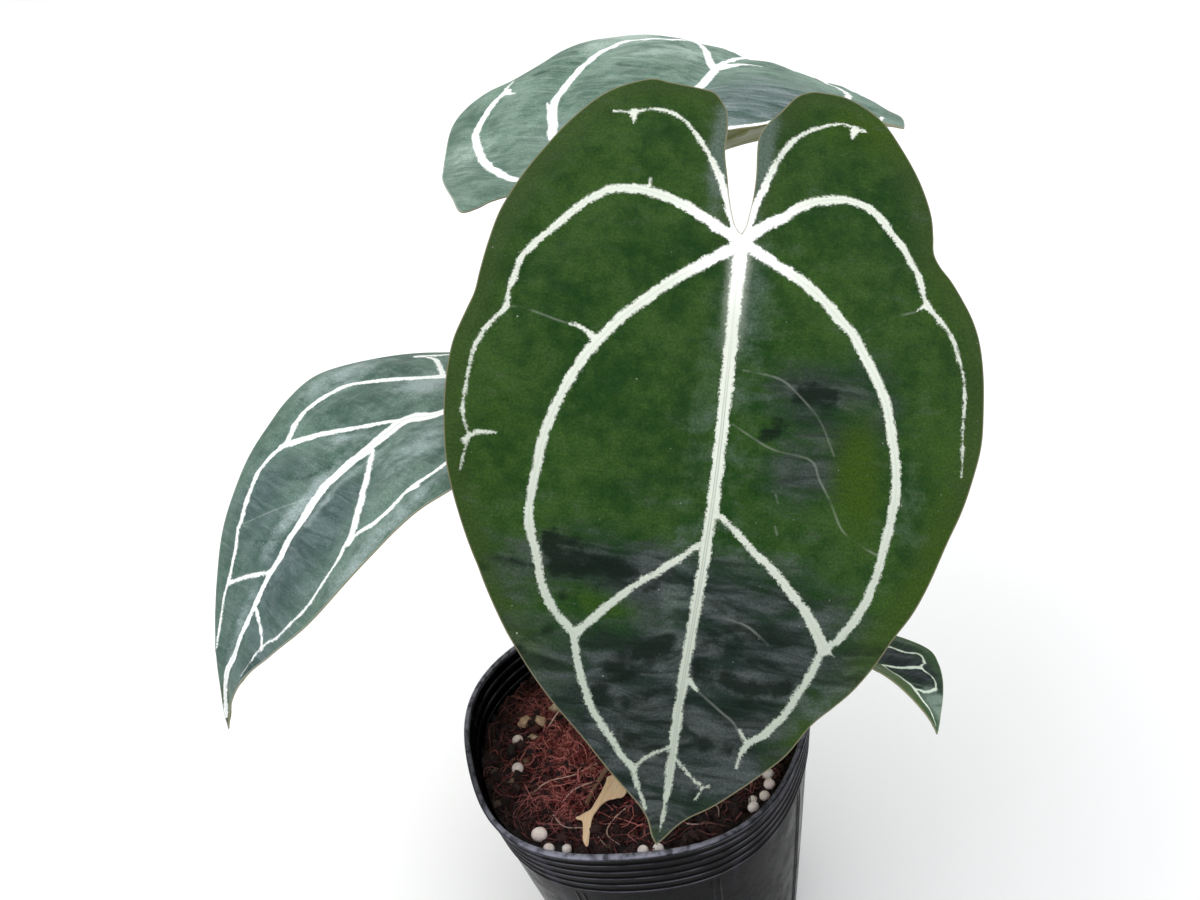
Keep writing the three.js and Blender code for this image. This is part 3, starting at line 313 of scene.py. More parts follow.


# Leaves. u is millimetres to the right of the midrib, seen from above and looking at the tip, and v is
# millimetres from the stalk towards the tip, on the blade laid flat.
# right and left are the margins from the stalk to the tip. A vein is its points, its half width where it
# starts and its half width where it ends. faint are hairlines. A zone is a soft oval of one tint: its
# centre, its two radii, its turn and its strength. The slate zones are painted sheen and painted shade, and
# the pale zones are painted sheen. A crease is its points, its half width and its depth: it dents the blade
# and is also painted dark, as shade.

FRONT = {
    "right": [(0.5, -1.5), (2.5, -3.5), (4.5, -9.5), (6, -16.5), (7.5, -24), (7.5, -30.5), (8, -36),
        (9.5, -39.5), (12, -43), (15, -44), (19, -44.5), (25, -45), (29.5, -45.5), (34, -44), (39, -41.5),
        (43.5, -38), (47.5, -33.5), (52, -27.5), (56, -21), (60, -14), (63.5, -6.5), (66, 0.5), (67.5, 9),
        (68.5, 17.5), (69, 23.5), (70.5, 29), (72.5, 37), (73, 45), (72.5, 54), (71, 62.5), (69, 70.5),
        (66, 78.5), (61.5, 88), (56, 97.5), (50, 107), (44, 115.5), (37.5, 123), (31, 129.5), (23.5, 136),
        (16, 143), (10, 148.5), (6.5, 152), (4, 155.5), (2, 160.5)],
    "left": [(-0.5, -3.5), (-1, -7.5), (-1.5, -12.5), (-1.5, -18.5), (-1, -24.5), (-1, -28.5), (-2.5, -32.5),
        (-6, -38), (-10.5, -45.5), (-14.5, -48.5), (-18.5, -49), (-24.5, -48.5), (-31, -45.5), (-36, -41.5),
        (-40.5, -35.5), (-45, -28.5), (-48, -22.5), (-50.5, -15.5), (-51.5, -9.5), (-52, -5), (-54, -1.5),
        (-57.5, 2), (-61, 6.5), (-64.5, 12), (-67, 18.5), (-69, 28), (-70, 38), (-70, 46), (-68.5, 55),
        (-66.5, 64), (-63.5, 73), (-60, 84), (-56.5, 92.5), (-52.5, 99.5), (-49, 106.5), (-44, 114),
        (-39.5, 119), (-34.5, 124.5), (-29.5, 133), (-23.5, 139), (-18, 144), (-12.5, 149), (-7.5, 153),
        (-4.5, 156.5), (-2, 160.5)],
    "veins": {
        "midrib": ([(0, 0), (0, 14), (-0.5, 37.5), (-1, 60), (-1, 79), (-0.5, 101.5), (0, 124),
            (-0.5, 146)], 1.85, 1.1),
        "midrib_tip": ([(-0.5, 146), (-0.5, 158.5)], 1.1, 0.3),
        "inner_right": ([(1.5, 2.5), (7.5, 7), (12.5, 11), (18, 15.5), (23, 20.5), (28, 25.5), (32, 30.5),
            (35, 35), (38, 40), (41, 47.5), (43, 54), (44.5, 61), (45, 67.5), (45.5, 78), (44.5, 84.5),
            (42, 90.5), (39.5, 98), (35.5, 104), (30.5, 108.5), (29, 111), (27.5, 116.5), (25, 122.5),
            (21.5, 129), (17, 134), (13, 139), (9.5, 142)], 1.5, 0.8),
        "end_right": ([(9.5, 142), (8, 146), (5, 152.5)], 0.8, 0.12),
        "inner_left": ([(-2.5, 2), (-8.5, 5.5), (-14.5, 8.5), (-21, 12.5), (-26, 17), (-31.5, 22),
            (-36, 28.5), (-39.5, 33.5), (-42.5, 39.5), (-44.5, 46), (-46.5, 53.5), (-47.5, 60),
            (-47.5, 67.5), (-46.5, 75.5), (-45.5, 83), (-44, 89.5), (-41, 96.5), (-37.5, 102), (-34, 105),
            (-32.5, 110.5), (-29.5, 117), (-27, 122.5), (-23, 128), (-19, 131)], 1.5, 0.9),
        "end_left": ([(-19, 131), (-17.5, 134.5), (-17, 138)], 0.9, 0.12),
        "outer_right": ([(1, 0), (6.5, -2), (13, -5.5), (19, -8), (25, -9.5), (31, -10), (36.5, -9),
            (42, -5.5), (46, -1.5), (50, 3.5), (54.5, 8.5), (57.5, 13), (58.5, 17.5), (59.5, 23), (59.5, 27),
            (62.5, 31), (65, 35.5), (66.5, 40.5), (67, 54.5), (65.5, 60), (64, 63), (64.5, 67.5),
            (65, 72)], 1.6, 0.12),
        "outer_left": ([(-1.5, -0.5), (-4.5, -3.5), (-10, -7.5), (-15.5, -12), (-21, -14.5), (-27, -15.5),
            (-33, -14), (-38, -10), (-42.5, -5), (-46, -0.5), (-48.5, 4), (-50.5, 10), (-53, 12.5),
            (-56.5, 15.5), (-59, 19), (-61.5, 24.5), (-63, 29), (-64, 35), (-64, 41), (-65, 55)], 1.5, 0.12),
        "lobe_right": ([(1.5, -1.5), (4, -6.5), (6, -11.5), (8.5, -17.5), (12, -23.5), (16, -29), (20, -33),
            (24, -35), (29, -35), (33.5, -33.5), (39, -33)], 1.15, 0.12),
        "lobe_left": ([(-1, -2.5), (-2, -8.5), (-4, -14.5), (-5.5, -20), (-8.5, -27), (-12.5, -33),
            (-17.5, -36.5), (-23.5, -39), (-26.5, -38.5), (-30.5, -37.5)], 1.15, 0.12),
        "branch_1": ([(-0.5, 81), (4.5, 85.5), (11.5, 91.5), (16, 95), (21, 100), (25, 104.5),
            (29, 109)], 0.6, 1.1),
        "branch_2": ([(-1.5, 73), (-7, 77), (-13, 82), (-19.5, 87), (-25, 92), (-29.5, 97), (-33.5, 102.5),
            (-35, 104.5)], 0.6, 1.45),
        "branch_3": ([(0, 135), (3.5, 137), (7, 139.5), (9, 142)], 0.35, 0.45),
        "branch_4": ([(-1.5, 138.5), (-5.5, 142), (-8.5, 144), (-11, 144)], 0.35, 0.3),
        "spur_1": ([(35, 33), (39, 30.5), (42, 30.2)], 0.9, 0.2),
        "spur_2": ([(65, 64), (62, 61.5), (57, 61)], 0.8, 0.15),
        "spur_3": ([(33.5, -33.5), (33.1, -30.2)], 1.3, 0.1),
        "spur_4": ([(-27.5, -38), (-26.8, -34.8)], 1.2, 0.1),
        "spur_5": ([(26.5, -10), (26.5, -13.5)], 0.7, 0.1),
        "spur_6": ([(-51, 10), (-48.5, 12.5)], 0.7, 0.12),
        "spur_7": ([(-19, 131.5), (-16, 128)], 0.8, 0.12),
        "spur_8": ([(-1.5, 117.5), (-4.2, 119.6)], 1.1, 0.1),
        "spur_11": ([(-1, 68), (-2.6, 74.5)], 0.9, 0.9),
        "spur_9": ([(-9.5, 144), (-8.3, 147.5)], 0.4, 0.12),
        "spur_10": ([(-33.5, 104), (-37.5, 105.8)], 1.0, 0.1),
    },
    "faint": [[(42, 30.2), (46, 29.5), (55, 27), (59.5, 27)], [(-48, 13), (-40, 17), (-35, 21)],
        [(-17.5, 131), (-14.5, 126.5), (-11, 124), (-4, 119.5)],
        [(-4.5, 36), (-14.5, 37.5), (-21.5, 42.5), (-26, 47.5), (-30, 55)], [(-3.5, 50.5), (-14, 55.5),
        (-24, 57), (-27, 61.5), (-31, 67.5), (-34.5, 73.5), (-39.5, 76.5), (-46, 79)],
        [(-16.5, 67), (-17.3, 69)], [(-17.5, 75), (-18.3, 77)], [(-8, 100), (-14, 101), (-20, 105)]],
    "zones": {
        "sheen_shade": [(0, 132, 52, 36, 0, 1.4), (14, 92, 36, 8, 0, 0.9), (-22, 108, 30, 12, 0.2, 0.6),
            (-22, 41, 12, 9, 0, 0.9), (-24, 60, 12, 9, 0.3, 0.8), (-36, 33, 7, 10, 0, 0.5),
            (24, 101, 12, 5, 0, -0.7), (-44, 44, 4, 14, 0, 0.4), (-34, 128, 12, 14, 0.6, -0.7)],
        "olive": [(-37, 60, 7, 17, 0.15, 1.5), (-60, 62, 9, 34, 0.1, 0.7), (-55, 8, 10, 20, 0, 0.5),
            (58, 60, 10, 40, -0.1, 0.45), (-34, -38, 18, 10, 0, 1.1), (50, -22, 12, 20, 0, 0.4),
            (42, 113, 6, 9, 0.4, 0.5), (24, 101, 10, 4, -0.2, 0.7), (-20, 24, 10, 8, 0, 0.3),
            (-50, 98, 7, 24, -0.45, 0.9), (20, -40, 20, 5, 0, 0.5)],
        "pale": [(-3, 16, 7, 22, 0, 0.6), (8.5, -25, 3.2, 17, 0, 1.3), (-2.5, -25, 3.2, 14, 0, 1.3),
            (5, 98, 5, 18, 0, 0.45), (-6, 60, 5, 30, 0, 0.28), (5, 50, 5, 36, 0, 0.28),
            (-52, 66, 7, 20, 0, 0.3), (-38, 118, 9, 10, -0.5, 0.5)],
    },
    "creases": [([(40, 89), (25.5, 91), (13.5, 92.5)], 4.6, 1.1), ([(36, 100.5), (25.5, 98)], 3.0, 0.6),
        ([(19, 116), (15.5, 114.5), (5, 108)], 3.6, 1.0), ([(23, 122.5), (14.5, 118.5)], 3.0, 0.9),
        ([(14, 125), (8, 123), (2, 120)], 3.2, 1.0), ([(-2, 115), (-14.5, 116), (-29, 114.5)], 3.8, 1.1),
        ([(-12, 121), (-23, 119)], 3.2, 0.8), ([(-8, 134), (-15, 133.5)], 3.4, 0.9),
        ([(17, 134), (8, 132.5)], 3.0, 0.8), ([(44, 118), (36, 110)], 3.6, 0.6),
        ([(-20, 40.5), (-27, 41)], 3.6, 1.1), ([(-15, 50), (-12, 54)], 3.2, 0.8),
        ([(46, 94), (56, 96)], 3.6, 0.6), ([(-12, 104), (-26, 107)], 3.4, 0.5)],
}

LEFT = {
    "right": [(0.6, -1.5), (4, -9), (6, -22), (8, -33), (14, -39), (23, -39.5), (32, -35), (40, -25),
        (45, -12), (49.5, 0), (54.5, 8.5), (60, 20), (65, 31.5), (67.5, 42.5), (63.5, 54.5), (56.5, 66),
        (50.5, 78), (44.5, 88), (37.5, 98.5), (28.5, 109.5), (20.5, 119), (12.5, 126.5), (6, 134.5),
        (2.5, 141.5)],
    "left": [(-0.5, -3), (-1.5, -12), (-2, -24), (-6, -36), (-13, -43), (-23, -43), (-33, -38), (-41, -28),
        (-46, -14), (-50, -2), (-56, 8), (-60, 20), (-62, 34), (-61, 48), (-58.5, 60), (-53.5, 68),
        (-51.5, 75), (-50.5, 83.5), (-48, 91.5), (-43, 100), (-36, 108), (-25.5, 116.5), (-16, 124),
        (-10, 131), (-4.5, 139.5)],
    "veins": {
        "midrib": ([(0, 0), (-1, 15), (-4, 34.5), (4, 42), (2, 54.5), (2, 76.5), (-1.5, 89), (-2, 110.5),
            (0, 122.5), (2, 131), (1, 142.5)], 3.3, 0.9),
        "inner_right": ([(1.5, 2.5), (11, 8), (22, 16), (32, 25.5), (46.5, 38.5), (48.5, 50), (46, 59),
            (39.5, 66.5), (39.5, 76.5), (35, 86), (29, 94), (22, 104), (18.5, 109.5), (16, 116.5),
            (11, 127)], 1.7, 0.5),
        "inner_left": ([(-2.5, 2), (-13, 8), (-24, 17), (-33, 28), (-39, 40), (-42.5, 55), (-40, 65),
            (-40.5, 75), (-36.5, 79.5), (-34, 83), (-35.5, 87), (-37, 94), (-35.5, 100.5), (-29.5, 108),
            (-25.5, 112), (-18, 117), (-11, 127)], 1.8, 0.15),
        "outer_right": ([(1, 0), (12, -5), (24, -9), (35, -7), (43, 0), (48, 8), (50.5, 13)], 1.34, 0.9),
        "outer_left": ([(-1.5, -0.5), (-9, -7), (-19, -13), (-29, -13), (-38, -6), (-44, 4), (-50, 16),
            (-54, 30), (-54, 44)], 1.34, 0.45),
        "lobe_right": ([(1.5, -1.5), (6, -12), (13, -24), (22, -30), (31, -28)], 1.12, 0.45),
        "lobe_left": ([(-1, -2.5), (-5, -15), (-12, -28), (-22, -33), (-30, -30)], 1.12, 0.45),
        "branch_1": ([(3, 41), (17.5, 52.5), (29, 60.5), (39.5, 69)], 0.8, 1.5),
        "branch_2": ([(1, 55.5), (-18, 68.5), (-30, 78), (-35, 83)], 0.75, 1.35),
        "branch_3": ([(-1.5, 110), (-7.5, 112), (-15, 115), (-18.5, 117.5)], 0.56, 0.56),
        "branch_4": ([(-1.5, 100.5), (9, 105), (18, 110)], 0.56, 0.56),
        "branch_5": ([(25, 17), (43, 10), (50.5, 13)], 0.9, 0.78),
        "spur_1": ([(39.5, 66.5), (42, 64)], 1.12, 0.45),
        "spur_2": ([(-40, 65), (-43, 63)], 1.01, 0.34),
    },
    "faint": [[(27.5, 94), (13.5, 85.5), (4.5, 77.5)]],
    "zones": {
        "sheen_shade": [(-12, 98, 22, 26, 0, 1.0), (28, 86, 14, 18, 0, 0.9), (-14, 78, 9, 12, 0, 0.7),
            (-18, 130, 8, 12, 0, 1.0), (10, 130, 14, 16, 0, 0.4)],
        "olive": [(1, 142, 8, 8, 0, 1.4)],
        "pale": [(21, 26, 11, 8, 0, 1.1), (56, 36, 9, 14, 0, 0.8), (16, 58, 9, 4, 0.4, 0.8),
            (5.5, 80, 3.5, 16, 0, 1.1), (-5, 72, 3, 22, 0, 0.7), (-47, 84, 5, 40, 0, 0.7),
            (-21, 50, 12, 12, 0, 0.7), (2, 118, 3, 12, 0, 0.6)],
    },
    "creases": [([(8, 70), (30, 84)], 2.2, 0.5), ([(-6, 74), (-28, 84)], 2.2, 0.5),
        ([(52, 40), (60, 50)], 2.0, 0.4), ([(4, 92), (24, 100)], 1.8, 0.5)],
}

BACK = {
    "right": [(0.6, -1.6), (4, -9), (8.5, -19), (15, -27), (23, -31), (33, -31.5), (42, -28), (48, -19.5),
        (55, -12), (63, -2), (69, 12), (71, 26), (73, 40), (72, 55), (69, 69), (64, 82), (56, 97), (46, 111),
        (35, 124), (23, 137), (12, 149), (4, 160)],
    "left": [(-0.5, -3), (-1.5, -12), (-3, -22), (-9, -31), (-16, -34), (-21.5, -35), (-25.5, -40),
        (-26.5, -46), (-29, -51), (-39, -38.5), (-53, -20.5), (-60, -9), (-68, 5), (-77.5, 28.5),
        (-79, 41.5), (-74.5, 51.5), (-67, 58.5), (-62, 70), (-59, 82), (-53, 95), (-45, 108), (-34, 122),
        (-22, 136), (-11, 149), (-4, 160)],
    "veins": {
        "midrib": ([(0, 0), (1, 20), (3, 40), (4, 54.5), (3, 69), (1.5, 81), (1, 95), (0, 120), (0, 150),
            (0, 160)], 2.21, 0.78),
        "inner_right": ([(1.5, 2.5), (12, 8.5), (21, 14), (29, 19), (36, 24.5), (42, 34), (46, 45), (48, 60),
            (49, 75), (46, 88), (39, 100), (31, 111), (25, 124), (14, 138), (6, 151)], 1.69, 0.65),
        "inner_left": ([(-2.5, 2), (-15, 5), (-27, 8), (-34, 21), (-40, 35), (-41.5, 49.5), (-42.5, 67.5),
            (-41.5, 83.5), (-38, 98), (-32, 108), (-22, 122), (-14, 137), (-6, 151)], 1.82, 0.65),
        "outer_right": ([(1, 0), (13, -5.5), (26, -9.5), (37, -8), (46, -1), (53, 9), (58, 19), (61, 30),
            (64.5, 42), (64, 58)], 1.56, 0.52),
        "outer_left": ([(-1.5, -0.5), (-8, -9), (-16, -18), (-24.5, -22.5), (-33, -18), (-45, -6.5),
            (-55.5, 7.5), (-62.5, 19), (-65, 30), (-66.5, 41.5), (-64.5, 49.5)], 1.69, 1.17),
        "lobe_right": ([(1.5, -1.5), (8, -12), (18, -22), (30, -27), (44, -22)], 1.17, 0.78),
        "lobe_left": ([(-1, -2.5), (-5, -12), (-11, -22)], 1.04, 0.39),
        "branch_1": ([(1, 79), (-4, 88), (-8, 98), (-16.5, 117), (-23, 121)], 1.6, 1.0),
        "branch_2": ([(2, 79), (5, 88), (10, 98), (18, 107.5), (24, 112)], 1.9, 0.3),
        "branch_3": ([(0, 138), (9, 144)], 0.65, 0.52),
        "branch_4": ([(0, 139), (-9, 146)], 0.65, 0.52),
        "spur_1": ([(-33, 18), (-38, 27), (-43, 36)], 1.17, 0.26),
        "spur_2": ([(-66, 42), (-66, 57)], 1.04, 0.39),
        "spur_3": ([(-64.5, 48), (-60, 46)], 0.91, 0.39),
    },
    "faint": [[(2, 60), (-12, 66), (-28, 72), (-42, 72)], [(2, 45), (-10, 50), (-26, 52), (-41, 50)],
        [(-44, 75), (-52, 74), (-62, 68)], [(4, 50), (18, 58), (34, 62), (47, 60)]],
    "zones": {
        "sheen_shade": [(30, 42, 24, 28, 0, 1.3), (-22, 60, 10, 20, 0, 0.3), (-32, 14, 10, 10, 0, 0.5)],
        "olive": [(73, 34, 6, 14, 0, 1.6), (-70, 20, 8, 30, 0, 0.2)],
        "pale": [(-42, 110, 12, 16, 0, 1.2), (-46, 84, 7, 10, 0, 0.7), (-14, 92, 10, 10, 0, 0.8),
            (-58, 4, 9, 12, 0, 0.6), (-24, 78, 8, 6, 0, 0.5)],
    },
    "creases": [([(-46, 70), (-58, 60)], 2.4, 0.5), ([(-44, 20), (-56, 28)], 2.2, 0.4),
        ([(-10, 62), (-30, 66)], 2.4, 0.5), ([(20, 50), (40, 60)], 2.2, 0.5)],
}

SMALL = {
    "right": [(0.3, -0.7), (1.5, -3), (2, -8), (3, -12.5), (6, -14), (10, -13), (14, -9), (17, -4), (19, 2),
        (20.5, 8), (21, 14), (20.5, 20), (19, 26), (16, 31.5), (12, 37), (7, 42.5), (2.5, 47)],
    "left": [(-0.3, -1.4), (-0.8, -5), (-1, -9), (-3, -13), (-6, -15), (-10, -14), (-14, -10), (-16.5, -4),
        (-18.5, 1), (-20.5, 8), (-21.5, 15), (-21, 22), (-20.5, 28), (-17.5, 32), (-13.5, 36), (-8.5, 40.5),
        (-4, 45), (-1.3, 48.5)],
    "veins": {
        "midrib": ([(0, 0), (0, 15), (1, 28), (0.5, 38)], 0.7, 1.0),
        "midrib_tip": ([(0.5, 38), (0, 48)], 1.0, 0.15),
        "inner_right": ([(0.8, 0.8), (6, 5), (11, 12), (14, 20), (13.5, 27), (12, 31)], 0.5, 0.1),
        "inner_left": ([(-0.8, 0.8), (-6, 5), (-10, 13), (-12, 20), (-12.5, 25), (-15, 27.5), (-13, 30.5),
            (-10, 31.5), (-9.5, 36), (-7.5, 38.5)], 0.8, 0.12),
        "outer_right": ([(0.5, 0), (6, -3.5), (11, -2), (15, 3), (17.5, 10), (18, 17)], 0.45, 0.2),
        "outer_left": ([(-0.5, 0), (-6, -3.5), (-11, -2.5), (-15, 3), (-17.5, 10), (-18.5, 17)], 0.45, 0.2),
        "branch_1": ([(0.5, 24.5), (-4, 29), (-10, 31.5)], 0.4, 0.6),
        "branch_2": ([(-7.5, 38.5), (-3, 38.5), (1, 36)], 0.35, 0.35),
    },
    "faint": [[(0.5, 16), (-6, 20), (-12, 20)], [(0.5, 34), (-4, 37), (-8, 38)]],
    "zones": {
        "sheen_shade": [(-7, 25, 7, 18, 0, 1.4), (6, 20, 5, 16, 0, 0.3)],
        "olive": [(-20, 16, 3, 20, 0, 0.5), (9, 36, 8, 16, 0, 1.3)],
        "pale": [(-4.5, 43, 4, 5, 0, 1.5)],
    },
    "creases": [([(-3, 20), (-10, 24)], 1.0, 0.4)],
}

# How each flat leaf is bent, as in the CAD. Angles are in degrees, and a pair is for the left and the
# right half. grain is the size of a leaf's detail. lift raises the outer corners of its lobes, and lip
# the bay at its stalk.
LEAVES = {
    "front": {
        "flat": FRONT, "scale": 1, "grain": 1, "at": (57.6, 24.5, 237.2), "heading": 243.5, "pitch": 37.9,
        "roll": 22.5, "length": 163.4, "arch": 28, "arch_power": 1.2, "sweep": 0, "twist": 0, "droop": 8,
        "fold": (4, 4), "curl": (-16, -16), "lift": (0, 0), "tip_fold": 22, "lip": 4,
        "stalk": [(10.1, 8.7, 96), (20, 9, 140), (40, 21, 195), (54, 31, 224)],
    },
    "left": {
        "flat": LEFT, "scale": 1.08, "grain": 1, "at": (-8.6, 77.7, 178), "heading": 209.5, "pitch": -21.2,
        "roll": -8.1, "length": 146.4, "arch": 86, "arch_power": 1.14, "sweep": 0, "twist": -2.5, "droop": 0,
        "fold": (5, 1), "curl": (5, 2), "lift": (0, 0), "tip_fold": 15, "lip": 3,
        "stalk": [(1.9, 7.6, 96), (-2, 28, 124), (-9, 60, 156), (-11, 72, 166)],
    },
    "back": {
        "flat": BACK, "scale": 1.07, "grain": 1, "at": (37.9, 99.6, 239.8), "heading": 60, "pitch": -1.2,
        "roll": -2, "length": 167, "arch": 44, "arch_power": 1.95, "sweep": 2, "twist": -26.5, "droop": -3,
        "fold": (1.5, 5), "curl": (-18.7, -14.4), "lift": (6.3, 27.5), "tip_fold": 15, "lip": 0,
        "stalk": [(5.3, 12.3, 96), (38, 27, 132), (56, 46, 172), (47, 84, 218)],
    },
    "right": {
        "flat": SMALL, "scale": 1, "grain": 0.5, "at": (51.7, -16.5, 120.8), "heading": -29, "pitch": -21.5,
        "roll": 37.6, "length": 50.3, "arch": 82.5, "arch_power": 1.6, "sweep": 11.5, "twist": 10.3,
        "droop": 0, "fold": (16.6, 11.3), "curl": (-3, -11), "lift": (0, 0), "tip_fold": 0, "lip": 0,
        "stalk": [(6.7, 4, 96), (24, -8, 110), (43, -20, 112.5), (50, -21, 115)],
    },
}
CURL_SPAN = 70
LOBE_SPAN = 50
LOBE_REACH = 70
EXTRA_TIP = 1.05
# How far a point of the fill strays, as a share of the spacing
JITTER = 0.12


def turned_pair(a, b, angle):
    """Two square axes turned in their own plane, from a towards b."""
    c, s = math.cos(angle), math.sin(angle)
    return a * c + b * s, b * c - a * s


class LeafForm:
    """Bends a flat leaf. The midrib is walked in 1 mm steps, with a place and two axes at each."""

    def __init__(self, leaf):
        self.leaf = leaf
        self.length = leaf["length"]
        steps = math.ceil(self.length * EXTRA_TIP)
        ahead = self.walk(1, steps)
        behind = self.walk(-1, LOBE_REACH)
        self.stations = np.arange(-LOBE_REACH, steps + 1)
        self.rows = np.vstack([behind[:0:-1], ahead])

    def walk(self, sign, last):
        """Rows of a place, the axis to the right and the axis off the face, from the stalk outwards."""
        leaf = self.leaf
        p, a, r, sweep, twist, droop = (math.radians(leaf[k]) for k in
                                        ("pitch", "heading", "roll", "sweep", "twist", "droop"))
        t = np.array([math.cos(p) * math.cos(a), math.cos(p) * math.sin(a), -math.sin(p)])
        level = np.array([math.sin(a), -math.cos(a), 0])
        s, n = turned_pair(level, np.cross(level, t), r)
        here = np.array(leaf["at"], float)
        rows = []
        for i in range(last + 1):
            rows.append(np.concatenate([here, s, n]))
            if sign > 0:
                share = (i + 0.5) / self.length
                arch = math.radians(leaf["arch"]) * leaf["arch_power"] * share ** (leaf["arch_power"] - 1)
                t, n = turned_pair(t, n, -arch / self.length)
                t, s = turned_pair(t, s, sweep / self.length)
                s, n = turned_pair(s, n, twist / self.length)
            else:
                t, n = turned_pair(t, n, droop / LOBE_SPAN)
            here = here + sign * t
        return np.array(rows)

    def middle(self, u, v):
        """The middle of the blade's thickness over flat points."""
        leaf = self.leaf
        row = np.stack([np.interp(v, self.stations, column) for column in self.rows.T], 1)
        side = (u >= 0).astype(int)
        fold, curl, lift = (np.array(leaf[k], float)[side] for k in ("fold", "curl", "lift"))
        tilt = np.radians(fold + leaf["tip_fold"] * smooth_step(0.8, 1, v / self.length))
        rate = np.radians(curl) / CURL_SPAN
        reach = np.abs(u)
        across = (np.sin(tilt + rate * reach) - np.sin(tilt)) / rate
        rise = (np.cos(tilt) - np.cos(tilt + rate * reach)) / rate
        corner = np.clip((reach - v - 10) / 75, 0, 1.3) ** 2 * np.clip(reach / 15, 0, 1)
        sinus = np.clip(-v / 30, 0, 1) * bell(np.maximum(0, reach - 2), 7)
        height = rise + lift * corner + leaf["lip"] * sinus
        bent = row[:, :3] + row[:, 3:6] * (np.sign(u) * across)[:, None] + row[:, 6:] * height[:, None]
        start = np.array(leaf["at"], float)
        return start + (bent - start) * leaf["scale"]

    def facing(self, u, v):
        eps = 0.4
        along_u = self.middle(u + eps, v) - self.middle(u - eps, v)
        along_v = self.middle(u, v + eps) - self.middle(u, v - eps)
        normal = np.cross(along_u, along_v)
        return normal / np.linalg.norm(normal, axis=1)[:, None]

    def at(self, u, v, height):
        u, v = np.atleast_1d(np.asarray(u, float)), np.atleast_1d(np.asarray(v, float))
        return self.middle(u, v) + self.facing(u, v) * np.broadcast_to(height, u.shape)[:, None]


def flat_mesh(outline, spacing, seed, lines=()):
    """Triangles of a flat shape: its outline, lines that it must follow and a slightly uneven fill."""
    clear, line_clear = 0.55 * spacing, 0.3 * spacing
    draw = np.random.default_rng(seed)
    low, high = outline.min(0), outline.max(0)
    fill = []
    for i, y in enumerate(np.arange(low[1], high[1], spacing * 0.866)):
        x = np.arange(low[0] + (i % 2) * spacing / 2, high[0], spacing)
        fill.append(np.stack([x, np.full(len(x), y)], 1))
    fill = np.vstack(fill)
    fill = fill + draw.uniform(-JITTER, JITTER, fill.shape) * spacing
    closed = np.vstack([outline, outline[:1]])
    fill = fill[inside(fill, outline)]
    for line in (closed, *lines):
        fill = fill[distance_to_chain(fill, line, reach=spacing) > clear]
    count = len(outline)
    edges = [(i, (i + 1) % count) for i in range(count)]
    points = [outline]
    for line in lines:
        kept = line[inside(line, outline) & (distance_to_chain(line, closed, reach=spacing) > line_clear)]
        edges += [(count + i, count + i + 1) for i in range(len(kept) - 1)]
        points.append(kept)
        count += len(kept)
    points = np.vstack([*points, fill])
    made = delaunay_2d_cdt([Vector(p) for p in points], edges, [], 0, 1e-6, False)
    points = np.array([tuple(p) for p in made[0]])
    faces = np.array([f for f in made[2] if len(f) == 3])
    faces = faces[inside(points[faces].mean(1), outline)]
    corner = points[faces]
    one, two = corner[:, 1] - corner[:, 0], corner[:, 2] - corner[:, 0]
    turn = one[:, 0] * two[:, 1] - one[:, 1] * two[:, 0]
    faces[turn < 0] = faces[turn < 0][:, ::-1]
    faces = faces[np.abs(turn) > 1e-7]
    used, faces = np.unique(faces, return_inverse=True)
    return points[used], faces.reshape(-1, 3)


def border_of(faces):
    """The open edges of the triangles, each in its triangle's own direction."""
    edges = np.vstack([faces[:, (0, 1)], faces[:, (1, 2)], faces[:, (2, 0)]])
    known = {tuple(e) for e in edges.tolist()}
    return [e for e in known if (e[1], e[0]) not in known]


def waves(u, v, seed, count, length, stretch):
    """Gentle uneven waves, of a height near 1, longer across the leaf than along it."""
    draw = np.random.default_rng(seed)
    total = np.zeros(len(u))
    for _ in range(count):
        heading = draw.normal(0, 0.45)
        size = length * draw.uniform(0.7, 1.5)
        phase = draw.uniform(0, 2 * np.pi)
        total += np.sin(2 * np.pi * (math.sin(heading) * u / stretch + math.cos(heading) * v) / size + phase)
    return total / math.sqrt(count)


def zone_field(points, zones):
    """The sum of a leaf's soft ovals of one tint."""
    total = np.zeros(len(points))
    for x, y, wide, tall, turn, strength in zones:
        across, along = turned_pair(points[:, 0] - x, points[:, 1] - y, turn)
        total += strength * np.exp(-(across / wide) ** 2 - (along / tall) ** 2)
    return total


def crease_field(points, creases, grain):
    """Soft furrows between the veins, a little wavy: they dent the blade and are painted dark, as shade."""
    u, v = points.T
    bend = np.stack([u, v + 1.2 * grain * waves(u, v, 27, 5, 16 * grain, 0.9)], 1)
    total = np.zeros(len(points))
    for line, width, depth in creases:
        away = distance_to_chain(bend, spline(line, 2 * grain))
        total = np.maximum(total, depth * bell(np.maximum(away, 0), width))
    return total


# Blade sizes in millimetres, for a grain of 1. A leaf's grain is the size of its detail.
BLADE_THICKNESS = 0.7
EDGE_THICKNESS = 0.4
CHAIN_STEP = 1.0
FILL_STEP = 0.95
SWELL, SWELL_REACH = 1.5, 9
RIB_TOP, RIB_UNDER, RIB_WIDTH = 0.32, 0.9, 1.3
GROOVE_TOP, GROOVE_UNDER, GROOVE_WIDTH = 0.07, 0.1, 0.8
FURROW_DEPTH = 0.8
TINTS = ("sheen_shade", "olive", "pale")


def measure(points, outline, chains, hairs):
    """Distances of the flat points: to the margin, a vein's side, a vein's middle, the midrib, a hair."""
    mains = [chain for key, (chain, _, _) in chains.items() if "spur" not in key]
    return (distance_to_chain(points, np.vstack([outline, outline[:1]])),
            np.min([distance_to_chain(points, *chain) for chain in chains.values()], axis=0),
            np.min([distance_to_chain(points, chain) for chain in mains], axis=0),
            distance_to_chain(points, chains["midrib"][0]),
            np.min([distance_to_chain(points, hair) for hair in hairs], axis=0))


